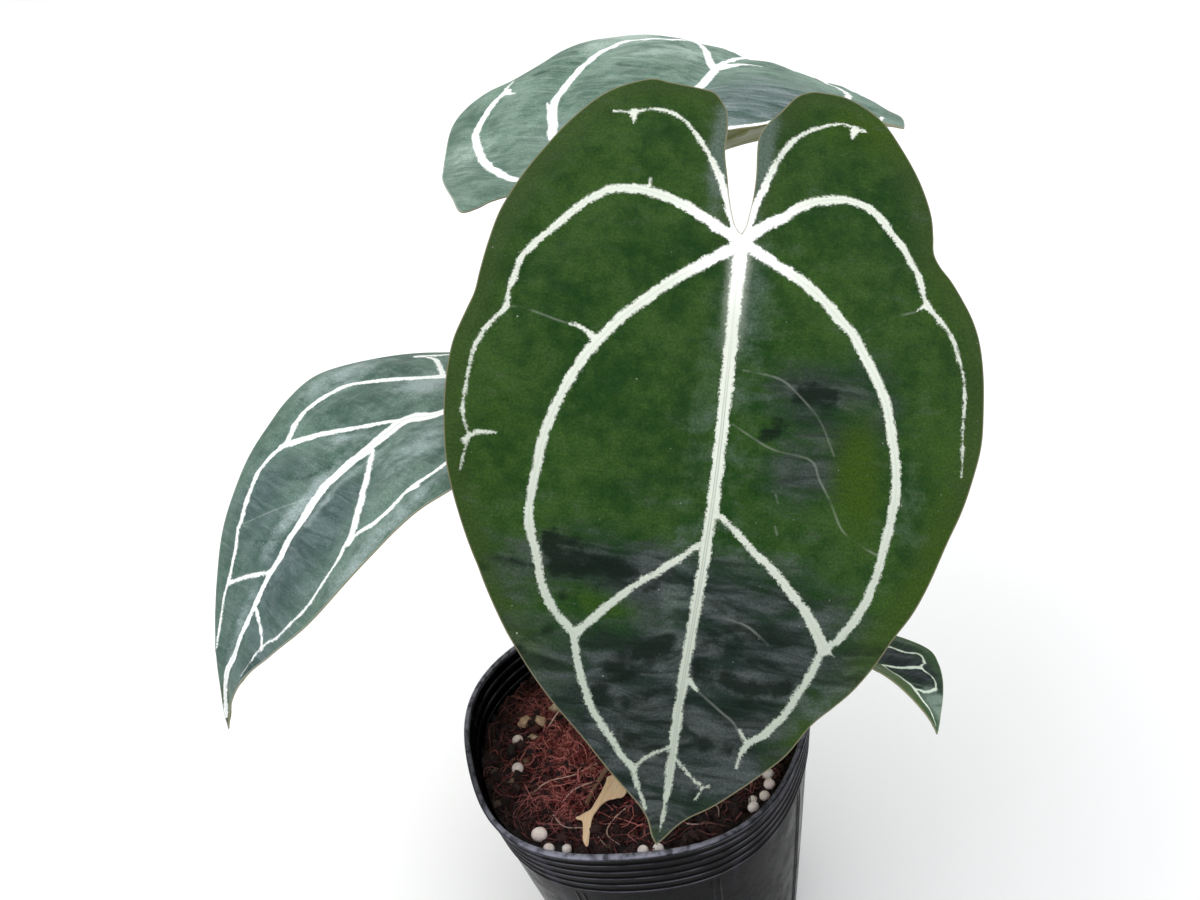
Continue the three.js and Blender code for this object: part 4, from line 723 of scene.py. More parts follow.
def relief(u, v, edge, centre, leaf):
    """Rise of the blade's middle: panels that swell between the veins, ripples and an uneven margin."""
    grain = leaf["grain"]
    swell = SWELL * grain * (1 - bell(np.minimum(edge, centre), SWELL_REACH * grain))
    quiet = smooth_step(0, 7 * grain, edge)
    outer = smooth_step(0.25, 0.7, v / leaf["length"])
    ripple = 0.26 * grain * waves(u, v, 21, 7, 17 * grain, 2.2) * outer * quiet
    ripple += 0.10 * grain * waves(u, v, 22, 9, 8 * grain, 1.6) * quiet
    frill = 0.2 * grain * waves(u, v, 23, 5, 30 * grain, 1.0) * (1 - smooth_step(0, 14 * grain, edge))
    return swell + ripple + frill


def build_blade(name, materials):
    leaf = LEAVES[name]
    flat, grain, form = leaf["flat"], leaf["grain"], LeafForm(leaf)
    tip = (0, leaf["length"])
    right = spline([*flat["right"], tip], CHAIN_STEP * grain)
    left = spline([flat["right"][0], *flat["left"], tip], CHAIN_STEP * grain)
    outline = np.vstack([right, left[1:-1][::-1]])
    chains = {key: (spline(line, CHAIN_STEP * grain), a, b) for key, (line, a, b) in flat["veins"].items()}
    hairs = [spline(line, CHAIN_STEP * grain) for line in flat["faint"]]
    points, faces = flat_mesh(outline, FILL_STEP * grain, 3, [chain[0] for chain in chains.values()] + hairs)
    u, v = points.T
    edge, vein, centre, core, faint = measure(points, outline, chains, hairs)
    crease = crease_field(points, flat["creases"], grain) * smooth_step(0, 3 * grain, centre)
    rib, groove = bell(centre, RIB_WIDTH * grain), bell(faint, GROOVE_WIDTH * grain)
    middle = relief(u, v, edge, centre, leaf) - FURROW_DEPTH * grain * crease
    half = 0.5 * (EDGE_THICKNESS + (BLADE_THICKNESS - EDGE_THICKNESS) * smooth_step(0, 6, edge))
    top = form.at(u, v, middle + half + RIB_TOP * grain * rib - GROOVE_TOP * grain * groove)
    under = form.at(u, v, middle - half - RIB_UNDER * grain * rib - GROOVE_UNDER * grain * groove)
    vertices, skin = skins(top, under, faces)
    values = {
        "flat": (u / grain, v / grain, np.zeros(len(u))),
        "zone": [zone_field(points, flat["zones"][tint]) for tint in TINTS],
        "line": (vein / grain, faint / grain, core / grain),
        "spot": (edge / grain, crease, np.hypot(u, v) / grain),
    }
    values = {key: np.tile(np.stack(columns, 1), (2, 1)) for key, columns in values.items()}
    values["centre"] = np.tile(centre / grain, 2)
    count = len(faces)
    face_material = [0] * count + [1] * count + [2] * (len(skin) - 2 * count)
    return piece(f"leaf_{name}", vertices, skin, materials, "leaf", [f"blade_{name}"], values, face_material)


STALK_RADIUS = 2.1
KNEE_EXTRA = 1.01
STALK_STEPS, STALK_SIDES = 150, 20


def build_stalk(name, material):
    """A leaf's stalk, with a thickened knee that ends inside the midrib."""
    leaf = LEAVES[name]
    form, grain = LeafForm(leaf), leaf["grain"]
    under = 0.4 + 0.8 * grain
    knee, end = form.at(0, 0.5, -under - 6 * grain)[0], form.at(0, 0.5, -under + 0.5)[0]

    def radius_at(t):
        swollen = KNEE_EXTRA * smooth_step(0.86, 0.95, t) * (1 - 0.45 * smooth_step(0.97, 1, t))
        return math.sqrt(grain) * (STALK_RADIUS * (1.15 - 0.25 * t) + swollen)

    vertices, faces = tube([*leaf["stalk"], knee, end], radius_at, STALK_STEPS, STALK_SIDES, ridge=0.015)
    along = np.concatenate([np.repeat(np.linspace(0, 1, STALK_STEPS + 1), STALK_SIDES), [0, 1]])
    return piece(f"stalk_{name}", vertices, faces, [material], "leaf_stalk", [f"petiole_{name}"],
                 {"along": along})


# Leaf materials. LOOKS gives each leaf's colours, as linear red, green and blue. Of these, the slate
# colours are painted sheen and shade, the pale colour is painted sheen and the dark colour is painted shade.
# The left and back leaves' greyer, lighter greens have their grazing sheen painted in.

LOOKS = {
    "front": {
        "deep": (0.006, 0.037, 0.003), "light": (0.033, 0.080, 0.012), "sheen_shade": (0.010, 0.020, 0.018),
        "sheen_shade_light": (0.062, 0.074, 0.074), "olive": (0.032, 0.070, 0.002), "pale": (0.105, 0.145, 0.120),
        "margin": (0.036, 0.064, 0.012), "vein": (0.74, 0.78, 0.68), "painted_shade": (0.0008, 0.005, 0.003),
        "rim": (0.24, 0.22, 0.13), "margin_share": 0.7, "streak": 0.3, "silk_sheen": 0.05, "fade": 0.8,
    },
    "left": {
        "deep": (0.042, 0.095, 0.072), "light": (0.150, 0.235, 0.190), "sheen_shade": (0.034, 0.070, 0.068),
        "sheen_shade_light": (0.088, 0.138, 0.136), "olive": (0.05, 0.08, 0.02), "pale": (0.34, 0.42, 0.41),
        "margin": (0.070, 0.125, 0.085), "vein": (0.95, 0.98, 0.96), "painted_shade": (0.020, 0.050, 0.042),
        "rim": (0.36, 0.40, 0.35), "margin_share": 0.4, "streak": 0.25, "silk_sheen": 0.25, "fade": 0.0,
    },
    "back": {
        "deep": (0.060, 0.125, 0.088), "light": (0.190, 0.290, 0.225), "sheen_shade": (0.085, 0.130, 0.125),
        "sheen_shade_light": (0.190, 0.235, 0.240), "olive": (0.11, 0.13, 0.02), "pale": (0.42, 0.52, 0.46),
        "margin": (0.080, 0.145, 0.100), "vein": (0.96, 0.99, 0.97), "painted_shade": (0.02, 0.06, 0.04),
        "rim": (0.38, 0.42, 0.36), "margin_share": 0.3, "streak": 0.3, "silk_sheen": 0.35, "fade": 0.0,
    },
    "right": {
        "deep": (0.006, 0.032, 0.008), "light": (0.024, 0.064, 0.022), "sheen_shade": (0.0025, 0.008, 0.011),
        "sheen_shade_light": (0.014, 0.026, 0.030), "olive": (0.040, 0.085, 0.004), "pale": (0.24, 0.33, 0.27),
        "margin": (0.030, 0.075, 0.018), "vein": (0.72, 0.82, 0.68), "painted_shade": (0.001, 0.004, 0.006),
        "rim": (0.30, 0.34, 0.20), "margin_share": 0.6, "streak": 0.3, "silk_sheen": 0.15, "fade": 0.0,
    },
}
SPECK = (0.6, 0.62, 0.55)
VEIN_FADED = (0.36, 0.42, 0.34)
VEIN_WHITE = (0.99, 1.0, 0.96)


def leaf_values(m):
    """The blade's own measures at each point, in its own millimetres."""
    line, spot, zone = m.parts("line"), m.parts("spot"), m.parts("zone")
    return {"flat": m.attribute("flat", "Vector"), "centre": m.attribute("centre"),
            "vein": line[0], "faint": line[1], "core": line[2],
            "edge": spot[0], "crease": spot[1], "fan": spot[2], **dict(zip(TINTS, zone))}


def panel_colour(m, at, look):
    """The green between the veins: cloudy, streaked across, with zones of slate, olive and pale. The slate
    zones are painted sheen and shade, and the pale zones painted sheen. Gives the colour and its two finer
    noises."""
    flat = at["flat"]
    streaks = m.noise(m.stretched(flat, (0.055, 0.16, 1)), 1.0, 5, 0.6, 0.6)
    cloud, mottle = m.noise(flat, 0.035, 4, 0.6), m.noise(flat, 0.16, 5, 0.65)
    mixed = m.add(m.times(cloud, 0.5), m.times(mottle, 0.5))
    panel = m.layer(look["deep"], look["light"], mixed, 0.38, 0.62)
    uneven = m.scaled(m.add(mottle, streaks), 1.1, -1.1)
    rim = m.scaled(mottle, 8.0, at["edge"])
    panel = m.layer(panel, look["margin"], rim, 4.0, 16.0, look["margin_share"], 0.0)
    # Painted sheen and shade: grey-blue slate zones, where the blade turns from the light
    sheen_shade = m.step(m.add(at["sheen_shade"], uneven), 0.05, 1.15)
    panel = m.mix(sheen_shade, panel, m.layer(look["sheen_shade"], look["sheen_shade_light"], streaks, 0.36, 0.62))
    panel = m.layer(panel, look["olive"], m.add(at["olive"], uneven), 0.1, 1.3, 0.0, 0.95)
    # Painted sheen: pale zones along the midrib, at the edges of the bay and near the margins
    panel = m.layer(panel, look["pale"], m.add(at["pale"], uneven), 0.1, 1.0, 0.0, 0.8)
    # Painted shade: dark streaks in the slate zone, on ripples that face away from the light, and broken
    # dark furrows where the blade buckles
    bands = m.noise(m.stretched(flat, (0.04, 0.17, 1), (3, 7, 0)), 1.0, 6, 0.62, 0.9)
    shade = m.times(m.step(bands, 0.36, 0.57, 0.85, 0.0), sheen_shade)
    broken = m.scaled(m.add(bands, mottle), -1.8, 1.8)
    furrow_shade = m.times(m.step(at["crease"], 0.02, 0.5), m.add(at["crease"], broken))
    shade = m.maths("MAXIMUM", shade, m.step(furrow_shade, 0.25, 0.95, 0.0, 0.9))
    panel = m.mix(shade, panel, look["painted_shade"])
    # A short dark nap, pale silky streaks of painted sheen and a fine weave
    nap = m.step(m.noise(m.stretched(flat, (0.35, 1.5, 1)), 1.0, 4, 0.7), 0.3, 0.75, 0.0, look["streak"])
    panel = m.mix(m.times(nap, 0.5), panel, look["deep"])
    silk_sheen = m.noise(m.stretched(flat, (0.05, 0.55, 1), (5, 2, 0)), 1.0, 6, 0.68, 0.7)
    panel = m.layer(panel, look["pale"], silk_sheen, 0.48, 0.75, 0.0, look["silk_sheen"])
    fine = m.noise(flat, 1.5, 3, 0.75)
    weave = m.step(fine, 0.35, 0.7, 0.72, 1.28)
    weave = m.node("CombineColor", {0: weave, 1: weave, 2: weave}).outputs[0]
    return m.mix(1.0, panel, weave, "MULTIPLY"), mottle, fine


def vein_colour(m, at, look):
    """The pale bands: whitest at the stalk, faded towards the tip, with a darker line inside."""
    vein = look["vein"]
    grainy = m.noise(at["flat"], 2.2, 3, 0.6)
    pale = m.layer(vein, tuple(0.7 * c for c in vein), grainy, 0.3, 0.75, 0.0, 0.3)
    pale = m.layer(pale, VEIN_FADED, at["fan"], 40.0, 135.0, 0.0, look["fade"])
    pale = m.layer(pale, VEIN_WHITE, at["fan"], 3.0, 26.0, 1.0, 0.0)
    inner = m.maths("ABSOLUTE", m.maths("SUBTRACT", at["core"], 0.3))
    line = m.times(m.step(inner, 0.05, 0.24, 0.6, 0.0), m.step(at["fan"], 18.0, 50.0))
    line = m.maths("MAXIMUM", line, m.step(at["centre"], 0.1, 0.35, 0.16, 0.0))
    return m.mix(line, pale, tuple(0.4 * c for c in vein))


def leaf_top(name):
    look, m = LOOKS[name], Shader(f"leaf_top_{name}")
    at = leaf_values(m)
    flat = at["flat"]
    panel, mottle, fine = panel_colour(m, at, look)
    # The veins' bands have a ragged, granular edge
    coarse = m.scaled(m.noise(flat, 0.28, 2, 0.5), 1.5, -0.75)
    ragged = m.scaled(m.noise(flat, 1.35, 5, 0.95, 0.2), 4.2, -2.1)
    white = m.step(m.add(at["vein"], m.add(coarse, ragged)), -0.12, 0.12, 1.0, 0.0)
    glow = m.step(m.add(at["core"], ragged), 1.0, 4.2, 1.0, 0.0)
    glow = m.times(m.step(at["fan"], 4.0, 42.0, 0.4, 0.0), glow)
    hair = m.times(m.step(at["faint"], 0.05, 0.5, 0.13, 0.0), m.step(m.noise(flat, 0.1), 0.35, 0.62))
    panel = m.mix(m.maths("MAXIMUM", glow, hair), panel, look["vein"])
    panel = m.layer(panel, SPECK, m.noise(flat, 0.9, 1, 0.4), 0.80, 0.83, 0.0, 0.5)
    colour = m.mix(white, panel, vein_colour(m, at, look))
    colour = m.layer(colour, look["rim"], at["edge"], 0.15, 0.45, 0.75, 0.0)
    height = m.scaled(white, 0.3, m.add(m.times(fine, 0.5), m.times(mottle, 0.7)))
    velvet = {"Specular IOR Level": 0.1, "Sheen Weight": 0.02, "Sheen Roughness": 0.4,
              "Sheen Tint": (0.8, 0.92, 0.96, 1)}
    return m.finish(colour, m.step(mottle, 0.2, 0.8, 0.46, 0.62), m.bump(height, 0.3, 0.3), velvet)


def leaf_under():
    m = Shader("leaf_underside")
    at, rib = leaf_values(m), (0.2, 0.21, 0.08)
    mottle = m.noise(at["flat"], 0.3, 5, 0.6)
    colour = m.layer((0.085, 0.105, 0.006), (0.130, 0.155, 0.014), mottle, 0.3, 0.7)
    colour = m.layer(colour, rib, m.add(at["vein"], m.times(mottle, 0.6)), 0.1, 0.7, 0.7, 0.0)
    colour = m.layer(colour, rib, at["faint"], 0.1, 0.6, 0.3, 0.0)
    colour = m.layer(colour, (0.18, 0.17, 0.06), at["edge"], 0.2, 1.0, 0.4, 0.0)
    grain = m.bump(m.noise(at["flat"], 1.6, 4, 0.7), 0.35, 0.25)
    return m.finish(colour, m.step(mottle, 0.3, 0.7, 0.4, 0.55), grain, {"Specular IOR Level": 0.3})


def leaf_edge():
    m = Shader("leaf_margin")
    flat = m.attribute("flat", "Vector")
    colour = m.mix(m.noise(flat, 0.5, 3), (0.15, 0.15, 0.07), (0.26, 0.24, 0.14))
    return m.finish(colour, m.step(m.noise(flat, 2.0), 0.3, 0.7, 0.5, 0.7))


def stalk_material():
    m = Shader("leaf_stalk")
    where, along = m.place(), m.attribute("along")
    streak = m.noise(m.stretched(where, (1, 1, 0.08)), 0.9, 4, 0.6)
    colour = m.layer((0.08, 0.12, 0.03), (0.15, 0.2, 0.06), streak, 0.3, 0.7)
    colour = m.layer(colour, (0.16, 0.08, 0.03), along, 0.0, 0.12, 0.75, 0.0)
    colour = m.layer(colour, (0.16, 0.13, 0.04), along, 0.84, 0.95, 0.0, 0.55)
    colour = m.layer(colour, (0.3, 0.32, 0.16), m.noise(where, 1.4, 2), 0.66, 0.72, 0.0, 0.5)
    return m.finish(colour, m.step(streak, 0.3, 0.7, 0.3, 0.45), m.bump(streak, 0.35, 0.3))


# Pot

PLAIN, OUTSIDE, INSIDE = range(3)
RIM_WAVE = 0.35
LIP_RADIUS = 0.85
LIP_HEIGHT = 99.05


def squeeze_at(angle, z):
    return SQUEEZE * np.cos(5 * (angle + SQUEEZE_TURN)) * (z / POT_HEIGHT) ** 2


def pot_radius(z):
    return BASE_RADIUS + (RIM_RADIUS - BASE_RADIUS) * z / POT_HEIGHT


def pot_rings(z):
    """Height of the fine raised rings under the rim."""
    total = np.zeros_like(z)
    for i in range(RINGS["count"]):
        total += RINGS["depth"] * bell(z - (RINGS["top"] - i * RINGS["pitch"]), RINGS["width"])
    return total


def seam_lines():
    """The raised lines down the side, each as its pair's angle and its own offset."""
    gap, count = SEAMS["half_gap"], SEAMS["count"]
    return [(2 * np.pi * (i + 0.3) / count, offset) for i in range(count) for offset in (-gap, gap)]


def pot_seams(angle, z):
    total = np.zeros(np.broadcast(angle, z).shape)
    for pair, offset in seam_lines():
        away = np.angle(np.exp(1j * (angle - pair - offset)))
        total = total + SEAMS["depth"] * bell(away * RIM_RADIUS, SEAMS["width"])
    return total * smooth_step(10, 14, z) * (1 - smooth_step(76, 78, z))


def pot_profile():
    """The wall's section, from the middle of the base, over the rim, to the middle of the floor."""
    ring_zone = np.arange(77, 97.6, 0.3)
    outer = np.concatenate([[1.6, 2.4, 4, 8], np.arange(10, 76, 3), ring_zone])
    inner = np.concatenate([[4, 10, 30, 60, 72], ring_zone])[::-1]
    profile = [(0.0, 0.0, PLAIN), (15.0, 0.0, PLAIN)]
    profile += [(BASE_RADIUS - inset, z, PLAIN) for inset, z in ((2.4, 0.0), (1.2, 0.25), (0.4, 0.8))]
    profile += [(pot_radius(z), z, OUTSIDE) for z in outer]
    for t in np.radians(np.linspace(-90, 90, 9)):
        profile.append((RIM_RADIUS + LIP_RADIUS * math.cos(t) - 0.1, LIP_HEIGHT + LIP_RADIUS * math.sin(t),
                        PLAIN))
    profile.append((RIM_RADIUS - POT_WALL + 0.15, POT_HEIGHT - 0.1, PLAIN))
    profile += [(pot_radius(z) - POT_WALL, z, INSIDE) for z in inner]
    floor_edge = pot_radius(POT_FLOOR) - POT_WALL - 0.8
    return profile + [(radius, POT_FLOOR, PLAIN) for radius in (floor_edge, 15.0, 0.0)]


def build_pot(material):
    even = np.arange(0, 2 * np.pi, 2 * np.pi / 144)
    fine = [pair + offset + np.linspace(-0.02, 0.02, 9) for pair, offset in seam_lines()]
    angles = np.unique(np.round(np.mod(np.concatenate([even, *fine]), 2 * np.pi), 5))
    rows = []
    for radius, z, side in pot_profile():
        heights = np.full(len(angles), float(z))
        reach = radius + (pot_rings(heights) if side else 0)
        reach = reach + (pot_seams(angles, heights) if side == OUTSIDE else 0)
        reach = reach + (squeeze_at(angles, heights) if radius > 1 else 0)
        near_rim = smooth_step(90, 100, heights)
        heights = heights + RIM_WAVE * np.sin(3 * angles + 1) * near_rim - RIM_WAVE * near_rim
        rows.append(np.stack([reach * np.cos(angles), reach * np.sin(angles),
                              np.minimum(heights, POT_HEIGHT)], 1))
    faces = ring_faces(len(rows), len(angles))
    made = piece("pot_shell", np.vstack(rows), faces, [material], "pot_plastic", ["pot"])
    drill_drains(made)
    return made


def drill_drains(pot):
    """Cuts the drainage holes through the pot's floor."""
    for i in range(DRAIN["count"]):
        angle = 2 * math.pi * i / DRAIN["count"]
        x, y = DRAIN["circle"] * math.cos(angle) * MM, DRAIN["circle"] * math.sin(angle) * MM
        bpy.ops.mesh.primitive_cylinder_add(vertices=40, radius=DRAIN["radius"] * MM, depth=6 * MM,
                                            location=(x, y, 0))
        cutter = bpy.context.object
        modifier = pot.modifiers.new("drain", "BOOLEAN")
        modifier.operation, modifier.solver, modifier.object = "DIFFERENCE", "EXACT", cutter
        bpy.context.view_layer.objects.active = pot
        pot.select_set(True)
        bpy.ops.object.modifier_apply(modifier=modifier.name)
        bpy.data.objects.remove(cutter)


def pot_material():
    m = Shader("pot_plastic")
    where = m.place()
    dust = m.noise(where, 0.12, 6, 0.65)
    height = m.node("SeparateXYZ", {0: where}).outputs[2]
    colour = m.layer((0.0006, 0.0005, 0.0008), (0.004, 0.0036, 0.0055), dust, 0.45, 0.8, 0.0, 0.5)
    # Painted reflection: faint purple-blue streaks down the side
    streak = m.noise(m.stretched(where, (0.09, 0.09, 0.006), (4, 1, 0)), 1.0, 4, 0.6)
    colour = m.layer(colour, (0.028, 0.026, 0.042), streak, 0.57, 0.75, 0.0, 0.8)
    colour = m.layer(colour, (0.12, 0.1, 0.09), m.noise(where, 1.5, 3, 0.6), 0.70, 0.78, 0.0, 0.3)
    # Painted highlights on the crests of the rings, and a pale, broken line along the rim
    turn = m.scaled(height, 1 / RINGS["pitch"], 0.5 - RINGS["top"] / RINGS["pitch"])
    away = m.maths("ABSOLUTE", m.maths("SUBTRACT", m.maths("FRACT", m.add(turn, 40.0)), 0.5))
    crest_highlight = m.times(m.step(away, 0.03, 0.12, 1.0, 0.0), m.step(height, 78.5, 79.5))
    crest_highlight = m.times(crest_highlight, m.step(m.noise(where, 0.08, 3), 0.35, 0.65, 0.1, 0.8))
    colour = m.mix(crest_highlight, colour, (0.10, 0.10, 0.12))
    rim_line = m.times(m.step(height, 98.9, 99.6), m.step(m.noise(where, 0.35, 4), 0.3, 0.6, 0.2, 1.0))
    colour = m.mix(rim_line, colour, (0.26, 0.26, 0.32))
    uneven = m.bump(m.noise(where, 0.35, 4, 0.6), 0.12, 0.6)
    return m.finish(colour, m.step(dust, 0.35, 0.75, 0.2, 0.4), uneven, {"Specular IOR Level": 0.04})


# Soil

def ground(x, y):
    """Height of the mix, as in the CAD."""
    lumps = (1.0 * np.sin(0.35 * x + 1.1) * np.cos(0.31 * y - 0.4) + 0.6 * np.sin(0.73 * x - 0.52 * y + 2.1)
             + 0.5 * np.sin(1.21 * x + 0.9 * y))
    return SOIL_TOP - SOIL_FALL * y + lumps


def crumbs_at(x, y):
    """Finer unevenness of the mix, from crossing waves."""
    draw = np.random.default_rng(31)
    total = np.zeros_like(x)
    for size, height in ((5.0, 0.5), (2.6, 0.4), (1.4, 0.25)):
        for _ in range(6):
            heading, phase = draw.uniform(0, np.pi), draw.uniform(0, 2 * np.pi)
            along = x * math.cos(heading) + y * math.sin(heading)
            total += height / 2.4 * np.sin(2 * np.pi * along / size + phase)
    return total


def soil_limit(angle):
    return pot_radius(SOIL_TOP - SOIL_FALL * 50 * np.sin(angle)) + squeeze_at(angle, 92) - POT_WALL - 0.6


def build_soil(material):
    angles = np.linspace(0, 2 * np.pi, 300, endpoint=False)
    outline = soil_limit(angles)[:, None] * np.stack([np.cos(angles), np.sin(angles)], 1)
    points, faces = flat_mesh(outline, 0.75, 5)
    top = on_ground(*points.T)
    loop = dict(border_of(faces))
    ring = [next(iter(loop))]
    while loop[ring[-1]] != ring[0]:
        ring.append(loop[ring[-1]])
    outward = top[ring, :2] / np.hypot(*top[ring, :2].T)[:, None]
    rows, skin = [top], [tuple(f) for f in faces]
    above, count = ring, len(top)
    for z, gap in ((76, 0.6), (40, 0.6), (1.8, 1.9)):
        rows.append(np.column_stack([outward * (pot_radius(z) - POT_WALL - gap), np.full(len(ring), z)]))
        below = list(range(count, count + len(ring)))
        for a, b, c, d in zip(above, below, below[1:] + below[:1], above[1:] + above[:1]):
            skin.append((a, b, c, d))
        above, count = below, count + len(ring)
    skin.append(tuple(above[::-1]))
    return piece("mix", np.vstack(rows), skin, [material], "potting_mix", ["soil"])


def on_ground(x, y, above=0.0):
    x, y = np.asarray(x, float), np.asarray(y, float)
    return np.stack([x, y, ground(x, y) + crumbs_at(x, y) + above], -1)


MIX_REACH = 50.5
STRANDS = 1500
CRUMBS = 900
# A clump is its centre, its spread and how many strands it adds.
CLUMPS = [((-24, 3), 9, 260), ((-20, -6), 12, 200), ((-34, 24), 9, 120), ((-28, -24), 12, 160)]
# Long pale strands that stand out on the mix
LONG_STRANDS = [
    [(-10, -16.5), (-17.7, -18.6), (-23.5, -20.2), (-27.4, -23.5)],
    [(-13, -9), (-22, -13), (-31, -14), (-38, -19)],
    [(17, -38), (17.8, -40.7), (17.2, -43.5)],
    [(8, -43), (10.7, -44.8), (14.5, -43.6), (16, -44.6)],
    [(-30, 10), (-25, 14), (-21, 20), (-22, 26)],
    [(-8, -31), (-13, -35), (-15, -41), (-12, -45)],
    [(-30, -28), (-27, -34), (-20, -37), (-16, -44)],
]


def random_spot():
    """A random place on the mix, as its distance from the middle and its angle."""
    return MIX_REACH * math.sqrt(rng.uniform(0, 1)), rng.uniform(0, 2 * np.pi)


def strand_path(x, y):
    """A short strand through a place, bent on the mix and arched a little above it."""
    half = rng.uniform(1.2, 6) if rng.uniform() < 0.8 else rng.uniform(6, 12)
    heading, bend = rng.uniform(0, 2 * np.pi), rng.normal(0, 0.8)
    t = np.linspace(-1, 1, 5)
    turn = heading + bend * t
    xs, ys = x + half * t * np.cos(turn), y + half * t * np.sin(turn)
    shrink = np.minimum(1, 51 / np.maximum(np.hypot(xs, ys), 1))
    arch = rng.uniform(0.2, 1.2) if half < 6 else rng.uniform(0.3, 1.8)
    return on_ground(xs * shrink, ys * shrink, arch * (1 - t ** 2) - 0.25)


def build_coir(material):
    """Coir strands that lie and arch on the mix."""
    heap = Heap()
    spots = [random_spot() for _ in range(STRANDS)]
    spots = [(r * math.cos(a), r * math.sin(a), 0.0) for r, a in spots]
    for (x, y), spread, count in CLUMPS:
        spots += [(x + rng.normal(0, 0.5 * spread), y + rng.normal(0, 0.5 * spread), 0.25)
                  for _ in range(count)]
    for x, y, bright in spots:
        path = strand_path(x, y)
        thick = rng.uniform(0.1, 0.24) if rng.uniform() < 0.92 else rng.uniform(0.25, 0.4)
        vertices, faces = tube(path, lambda s, r=thick: r * (1 - 0.5 * s), 8, 4)
        heap.add(vertices, faces, min(0.93, rng.uniform() + bright))
    for strand in LONG_STRANDS:
        xs, ys = np.array(strand, float).T
        rise = 1.0 * np.sin(np.pi * np.linspace(0, 1, len(xs))) + 0.2
        heap.add(*tube(on_ground(xs, ys, rise), lambda s: 0.28 * (1 - 0.5 * s), 40, 6), 0.99)
    return heap.piece("coir", material, "potting_mix")


def build_crumbs(material):
    """Bark and peat crumbs."""
    heap = Heap()
    unit, faces = ball(2)
    for _ in range(CRUMBS):
        reach, angle = random_spot()
        size = rng.uniform(0.3, 1.3) if rng.uniform() < 0.9 else rng.uniform(1.2, 2.4)
        size = min(size, 52 - reach)
        shape = unit * (1 + 0.3 * np.sin(3.1 * unit[:, :1] * rng.uniform(1, 3) + rng.uniform(0, 6)))
        shape = turned(shape * (1, rng.uniform(0.4, 0.9), rng.uniform(0.35, 0.7)) * size,
                       rng.normal(0, 0.5), rng.uniform(0, 6.3))
        spot = on_ground(reach * math.cos(angle), reach * math.sin(angle), 0.1 * size)
        heap.add(shape + spot, faces, rng.uniform())
    return heap.piece("crumbs", material, "potting_mix")


def painted_wall_shade(m, where, colour):
    """The colour, with painted shade: darker towards the wall of the pot, which shades the mix."""
    flat = m.node("VectorMath", {0: where, 1: (1, 1, 0)}, operation="MULTIPLY").outputs[0]
    reach = m.node("VectorMath", {0: flat}, operation="LENGTH").outputs["Value"]
    return m.layer(colour, (0.006, 0.0015, 0.0015), reach, 32.0, 52.0, 0.0, 0.75)


def soil_material():
    m = Shader("potting_mix")
    where = m.place()
    coarse, fine = m.noise(where, 0.12, 4, 0.6), m.noise(where, 0.9, 6, 0.7)
    colour = m.layer((0.003, 0.001, 0.001), (0.016, 0.003, 0.003), coarse, 0.35, 0.65)
    colour = m.layer(colour, (0.09, 0.016, 0.013), fine, 0.5, 0.75, 0.0, 0.6)
    return m.finish(colour, m.step(fine, 0.3, 0.7, 0.7, 0.95), m.bump(fine, 0.9, 0.8))


def fibre_material():
    m = Shader("coir")
    tone, where = m.attribute("tone"), m.place()
    noise = m.noise(where, 0.8, 3)
    colour = m.layer((0.014, 0.002, 0.003), (0.22, 0.015, 0.018), tone, 0.0, 0.55)
    colour = m.layer(colour, (0.66, 0.21, 0.19), tone, 0.48, 0.8, 0.0, 0.95)
    colour = m.layer(colour, (0.78, 0.54, 0.46), tone, 0.94, 0.98, 0.0, 0.9)
    colour = m.layer(colour, (0.02, 0.004, 0.004), noise, 0.4, 0.8, 0.0, 0.5)
    return m.finish(painted_wall_shade(m, where, colour), m.step(noise, 0.3, 0.7, 0.45, 0.7))


def crumb_material():
    m = Shader("crumbs")
    tone, where = m.attribute("tone"), m.place()
    noise = m.noise(where, 0.9, 5, 0.65)
    colour = m.mix(tone, (0.004, 0.001, 0.001), (0.10, 0.014, 0.012))
    colour = m.layer(colour, (0.3, 0.2, 0.12), tone, 0.93, 0.97)
    colour = m.layer(colour, (0.012, 0.004, 0.003), noise, 0.35, 0.75, 0.0, 0.6)
    colour = painted_wall_shade(m, where, colour)
    return m.finish(colour, m.step(noise, 0.3, 0.7, 0.65, 0.9), m.bump(noise, 0.8, 0.5))


# What lies on the mix

# Beads as x, y and radius. Chips as x, y and turn.
PRILLS = [
    (-39.3, 8.1, 1.8), (-39.9, -4.7, 1.9), (34.5, -31, 1.9), (34, -36.2, 1.7), (28.2, -38.5, 1.6),
    (27.6, -42.8, 1.7), (31.6, -39.6, 1.6), (-5.8, -49, 1.7), (-1.5, -49.3, 1.7), (-32.3, -40.6, 1.7),
    (-27.4, -40.9, 1.6), (-34.5, -35.6, 2.3),
]
CHIPS = [(-36.3, 16.9, 0.6), (-31, 14.6, 1.9), (-33.6, 9.3, 2.6), (-25.6, 20.8, 0.2)]
BRACT = {
    "outline": [
        (-9.3, -17.5), (-8.2, -21.6), (-7.2, -26.6), (-8.9, -29.3), (-11.9, -29.1), (-14.6, -30),
        (-16.9, -32.4), (-18.6, -34.9), (-19.6, -38.5), (-21.1, -43), (-22.1, -41.3), (-21.7, -37.5),
        (-21.5, -34.9), (-23.2, -33), (-20.8, -32.4), (-18.4, -31.4), (-16.6, -28.6), (-14.8, -25.3),
        (-13, -21), (-12.2, -18),
    ],
    "start": (-11, -17.5), "end": (-21.2, -43), "thickness": 0.5, "lie": 1.2, "arch": 2.2, "mesh": 0.35,
}


